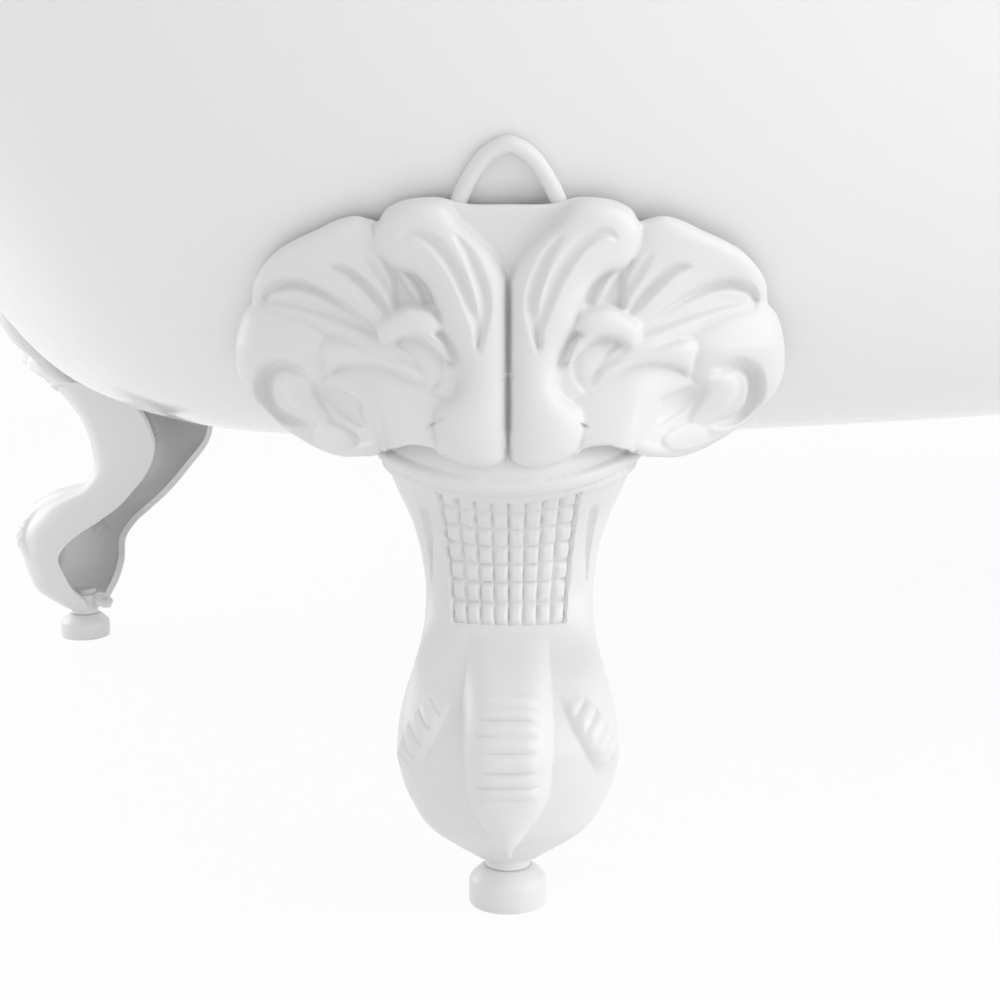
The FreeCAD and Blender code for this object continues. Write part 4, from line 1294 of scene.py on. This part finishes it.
@dataclass
class Socket:
    """Inside of a foot: the boss round the levelling screw, the holed tab behind it and the fixing lug."""

    boss: Line = (
        (6.2, 12.8), (7.2, 12.8), (6.9, 13.8), (7.2, 15.2), (8.4, 17.2), (9.5, 20.0), (9.5, 23.0),
        (6.2, 23.0),
    )
    tab: Line = ((2.2, -1.3), (5.0, -1.3), (5.0, 1.3), (2.2, 1.3))
    tab_place: Place = (0.0, -12.0, 20.0)
    tab_tilt: float = 30.0
    lug_rise: float = 159.0
    lug_size: Place = (70.0, 34.0, 5.4)
    lug_edge: float = 1.0
    lug_edge_steps: int = 2
    lug_gap: float = 0.6
    lug_shift: float = 4.0
    lean_step: float = 2.0
    bore: float = 4.5
    drill_length: float = 50.0
    sides: int = 32

    def build(self, gauge: HullGauge) -> list[bpy.types.Object]:
        """Builds the socket's pieces in the foot's own frame.

        Args:
            gauge: Measures the bath's outside.

        Returns:
            The boss, tab and lug.
        """
        boss = turned("boss", self.boss)
        tab = turned("tab", self.tab, self.sides)
        tilt = Matrix.Rotation(math.radians(self.tab_tilt), 4, "X")
        tab.data.transform(Matrix.Translation(Vector(self.tab_place) * MM) @ tilt)
        return [boss, tab, self.lug(gauge)]

    def lug(self, gauge: HullGauge) -> bpy.types.Object:
        """Bored plate that lies against the bath's outside and takes the fixing stud.

        Args:
            gauge: Measures the bath's outside.

        Returns:
            The plate in the foot's own frame.
        """
        seat = Vector((0.0, gauge.reach(0.0, self.lug_rise), self.lug_rise))
        above = gauge.reach(0.0, self.lug_rise + self.lean_step)
        below = gauge.reach(0.0, self.lug_rise - self.lean_step)
        lean = (above - below) / (2 * self.lean_step)
        normal = Vector((0.0, 1.0, -lean)).normalized()
        spin = normal.to_track_quat("Z", "X").to_matrix().to_4x4()
        deselect()
        bpy.ops.mesh.primitive_cube_add(size=1.0)
        lug = bpy.context.active_object
        lug.name = "lug"
        across, along, thick = self.lug_size
        bpy.ops.transform.resize(value=(along * MM, across * MM, thick * MM))
        bpy.ops.object.transform_apply(scale=True)
        bpy.ops.transform.translate(value=(-self.lug_shift * MM, 0.0, 0.0))
        bpy.ops.object.transform_apply(location=True)
        self.bored(lug)
        edges = lug.modifiers.new("edges", "BEVEL")
        edges.width = self.lug_edge * MM
        edges.segments = self.lug_edge_steps
        bpy.ops.object.modifier_apply(modifier=edges.name)
        middle = seat + normal * (self.lug_gap + thick / 2)
        lug.data.transform(Matrix.Translation(middle * MM) @ spin)
        return lug

    def bored(self, lug: bpy.types.Object) -> None:
        """Bores the lug for its stud.

        Args:
            lug: The plate, with the bore's middle at the origin.
        """
        deselect()
        size = {"radius": self.bore * MM, "depth": self.drill_length * MM}
        bpy.ops.mesh.primitive_cylinder_add(vertices=self.sides, **size)
        drill = bpy.context.active_object
        hole = lug.modifiers.new("hole", "BOOLEAN")
        hole.object = drill
        bpy.context.view_layer.objects.active = lug
        bpy.ops.object.modifier_apply(modifier=hole.name)
        bpy.data.objects.remove(drill)


def dress_with(piece: bpy.types.Object, paint: bpy.types.Material) -> None:
    """Gives a piece one material."""
    piece.data.materials.clear()
    piece.data.materials.append(paint)


def dress(piece: bpy.types.Object, finish: Finish) -> None:
    """Gives a piece one finish."""
    dress_with(piece, finish.material())


def dress_nodes(finish: Finish, *names: str) -> None:
    """Gives CAD nodes one finish.

    Args:
        finish: The finish.
        names: The nodes' names.
    """
    for name in names:
        dress(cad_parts[name], finish)
        LOG.info("dressed %s as %s", name, finish.slot)


def set_at(corner: Corner, model: bpy.types.Object) -> bpy.types.Object:
    """Sets a copy of a model at a corner.

    Args:
        corner: Where the copy stands.
        model: A piece in the foot's own frame.

    Returns:
        The copy, with a mesh of its own.
    """
    copy = model.copy()
    copy.data = model.data.copy()
    copy.name = f"{model.name}_{corner.label}"
    copy.data.transform(FootPlace(corner).matrix())
    bpy.context.collection.objects.link(copy)
    LOG.info("set %s", copy.name)
    return copy


@dataclass
class LevellingPad:
    """Round pad under a foot: a short drum with a softly domed top, set at the four corners."""

    profile: Line = (
        (0.4, 0.0), (11.6, 0.0), (12.3, 0.3), (12.5, 1.0), (12.5, 7.4), (12.3, 8.1), (11.7, 9.0),
        (10.7, 10.1), (9.4, 11.2), (8.3, 12.0), (7.4, 12.4), (0.4, 12.45),
    )
    sides: int = 96

    def build(self) -> None:
        """Builds the pad, sets it at the four corners and dresses it."""
        model = turned("pad", self.profile, self.sides)
        for corner in Corner:
            pad = set_at(corner, model)
            dress(pad, PAD)
            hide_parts(f"leveller_pad_{corner.label}")
            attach(pad, f"pad_{corner.label}")
        bpy.data.objects.remove(model)


@dataclass
class ClawFoot:
    """One cast foot, built once in its own frame and set at the four corners."""

    crown: Crown
    loop: Loop
    leg: Leg
    socket: Socket

    def build(self) -> None:
        """Builds the foot, sets it at the four corners and dresses it."""
        gauge = HullGauge()
        models = [self.crown.build(gauge), self.loop.build(gauge), self.leg.build(gauge)]
        models += self.socket.build(gauge)
        for corner in Corner:
            for model in models:
                copy = set_at(corner, model)
                dress(copy, CASTING)
                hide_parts(f"foot_{corner.label}")
                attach(copy, "bath")
        for model in models:
            bpy.data.objects.remove(model)


@dataclass(frozen=True)
class Lamp:
    """One soft square lamp: where it hangs, what it looks at, its size in metres and its power in watts."""

    name: str
    place: Place
    aim: Place
    size: float
    power: float

    def hang(self) -> None:
        """Hangs the lamp."""
        deselect()
        bpy.ops.object.light_add(type="AREA", location=self.place)
        lamp = bpy.context.active_object
        lamp.name = self.name
        lamp.data.size = self.size
        lamp.data.energy = self.power
        way = Vector(self.aim) - Vector(self.place)
        lamp.rotation_euler = way.to_track_quat("-Z", "Y").to_euler()
        lamp.visible_camera = False
        LOG.info("hung %s", self.name)


@dataclass
class Studio:
    """White floor, soft light and the camera."""

    eye: Place = (-0.7709, -0.6479, 0.2177)
    heading: float = 57.93
    dip: float = 9.456
    lens: float = 61.2
    sensor: float = 36.0
    nearest: float = 0.01
    surround: float = 0.715
    white: tuple[float, ...] = (1.0, 1.0, 1.0, 1.0)
    floor_size: float = 40.0
    floor_colour: tuple[float, ...] = (0.95, 0.95, 0.95, 1.0)
    floor_roughness: float = 0.7
    floor_specular: float = 0.2
    floor_white: float = 0.92
    lamps: tuple[Lamp, ...] = (
        Lamp("key", (2.9, -4.0, 1.75), (-0.3, -0.2, 0.25), 5.2, 152.0),
        Lamp("fill", (-0.85, 0.62, 0.3), (-0.52, 0.2, 0.1), 0.4, 1.4),
    )

    def build(self) -> None:
        """Sets the floor, light and camera."""
        self.floor()
        self.light()
        self.camera()

    def floor(self) -> None:
        """White floor, drawn towards white for the eye, that keeps the bath's soft shadow."""
        deselect()
        bpy.ops.mesh.primitive_plane_add(size=self.floor_size)
        floor = bpy.context.active_object
        floor.name = "floor"
        paint = bpy.data.materials.new("floor")
        paint.use_nodes = True
        board = Board(paint.node_tree)
        shader = paint.node_tree.nodes["Principled BSDF"]
        board.fill(shader, {
            "Base Color": self.floor_colour,
            "Roughness": self.floor_roughness,
            "Specular IOR Level": self.floor_specular,
        })
        glow = board.node("ShaderNodeEmission", {}, {})
        share = self.seen(board) * self.floor_white
        halves = {"Fac": share, 1: board.wire(shader), 2: board.wire(glow)}
        mix = board.node("ShaderNodeMixShader", {}, halves)
        board.fill(paint.node_tree.nodes["Material Output"], {"Surface": board.wire(mix)})
        dress_with(floor, paint)

    def seen(self, board: Board) -> Wire:
        """Tells what the camera sees from plain light.

        Args:
            board: The node tree that asks.

        Returns:
            1 where the camera sees a surface, straight or in a reflection or glass, and 0 for plain light.
        """
        path = board.node("ShaderNodeLightPath", {}, {})
        straight = board.wire(path, "Is Camera Ray")
        mirrored = board.wire(path, "Is Glossy Ray")
        through_glass = board.wire(path, "Is Transmission Ray")
        return (straight + mirrored + through_glass).least(1.0)

    def light(self) -> None:
        """Even surroundings, a soft key from the camera's right and a small fill for the far foot."""
        world = bpy.data.worlds.new("studio")
        world.use_nodes = True
        bpy.context.scene.world = world
        board = Board(world.node_tree)
        seen = self.seen(board)
        strength = seen + (1 - seen) * self.surround
        board.fill(world.node_tree.nodes["Background"], {"Color": self.white, "Strength": strength})
        for lamp in self.lamps:
            lamp.hang()

    def camera(self) -> None:
        """Camera at the photograph's place."""
        data = bpy.data.cameras.new("camera")
        data.lens = self.lens
        data.sensor_width = self.sensor
        data.clip_start = self.nearest
        camera = bpy.data.objects.new("camera", data)
        bpy.context.collection.objects.link(camera)
        camera.location = self.eye
        camera.rotation_euler = (
            math.radians(QUARTER_TURN - self.dip), 0.0, math.radians(self.heading - QUARTER_TURN))
        bpy.context.scene.camera = camera


def main() -> None:
    """Dresses the bath, builds its feet and sets the studio."""
    logging.basicConfig(level=logging.INFO)
    bpy.context.scene.view_settings.view_transform = "Standard"
    dress_nodes(GLOSS, "inner_bath", "outer_skin")
    dress_nodes(CHROME, "waste_flange", "plug", "overflow_bezel", "overflow_knob")
    dress_nodes(ZINC, "foot_studs", "foot_washers", "foot_nuts")
    dress_nodes(RUBBER, "waste_seal", "overflow_seal")
    dress_nodes(PLASTIC, "waste_body", "overflow_body", "overflow_pipe")
    dress_nodes(TIMBER, "base_board", "foot_blocks")
    dress_nodes(SCREW, *(f"leveller_screw_{corner.label}" for corner in Corner))
    LevellingPad().build()
    ClawFoot(Crown(), Loop(), Leg(), Socket()).build()
    Studio().build()


if __name__ == "__main__":
    main()
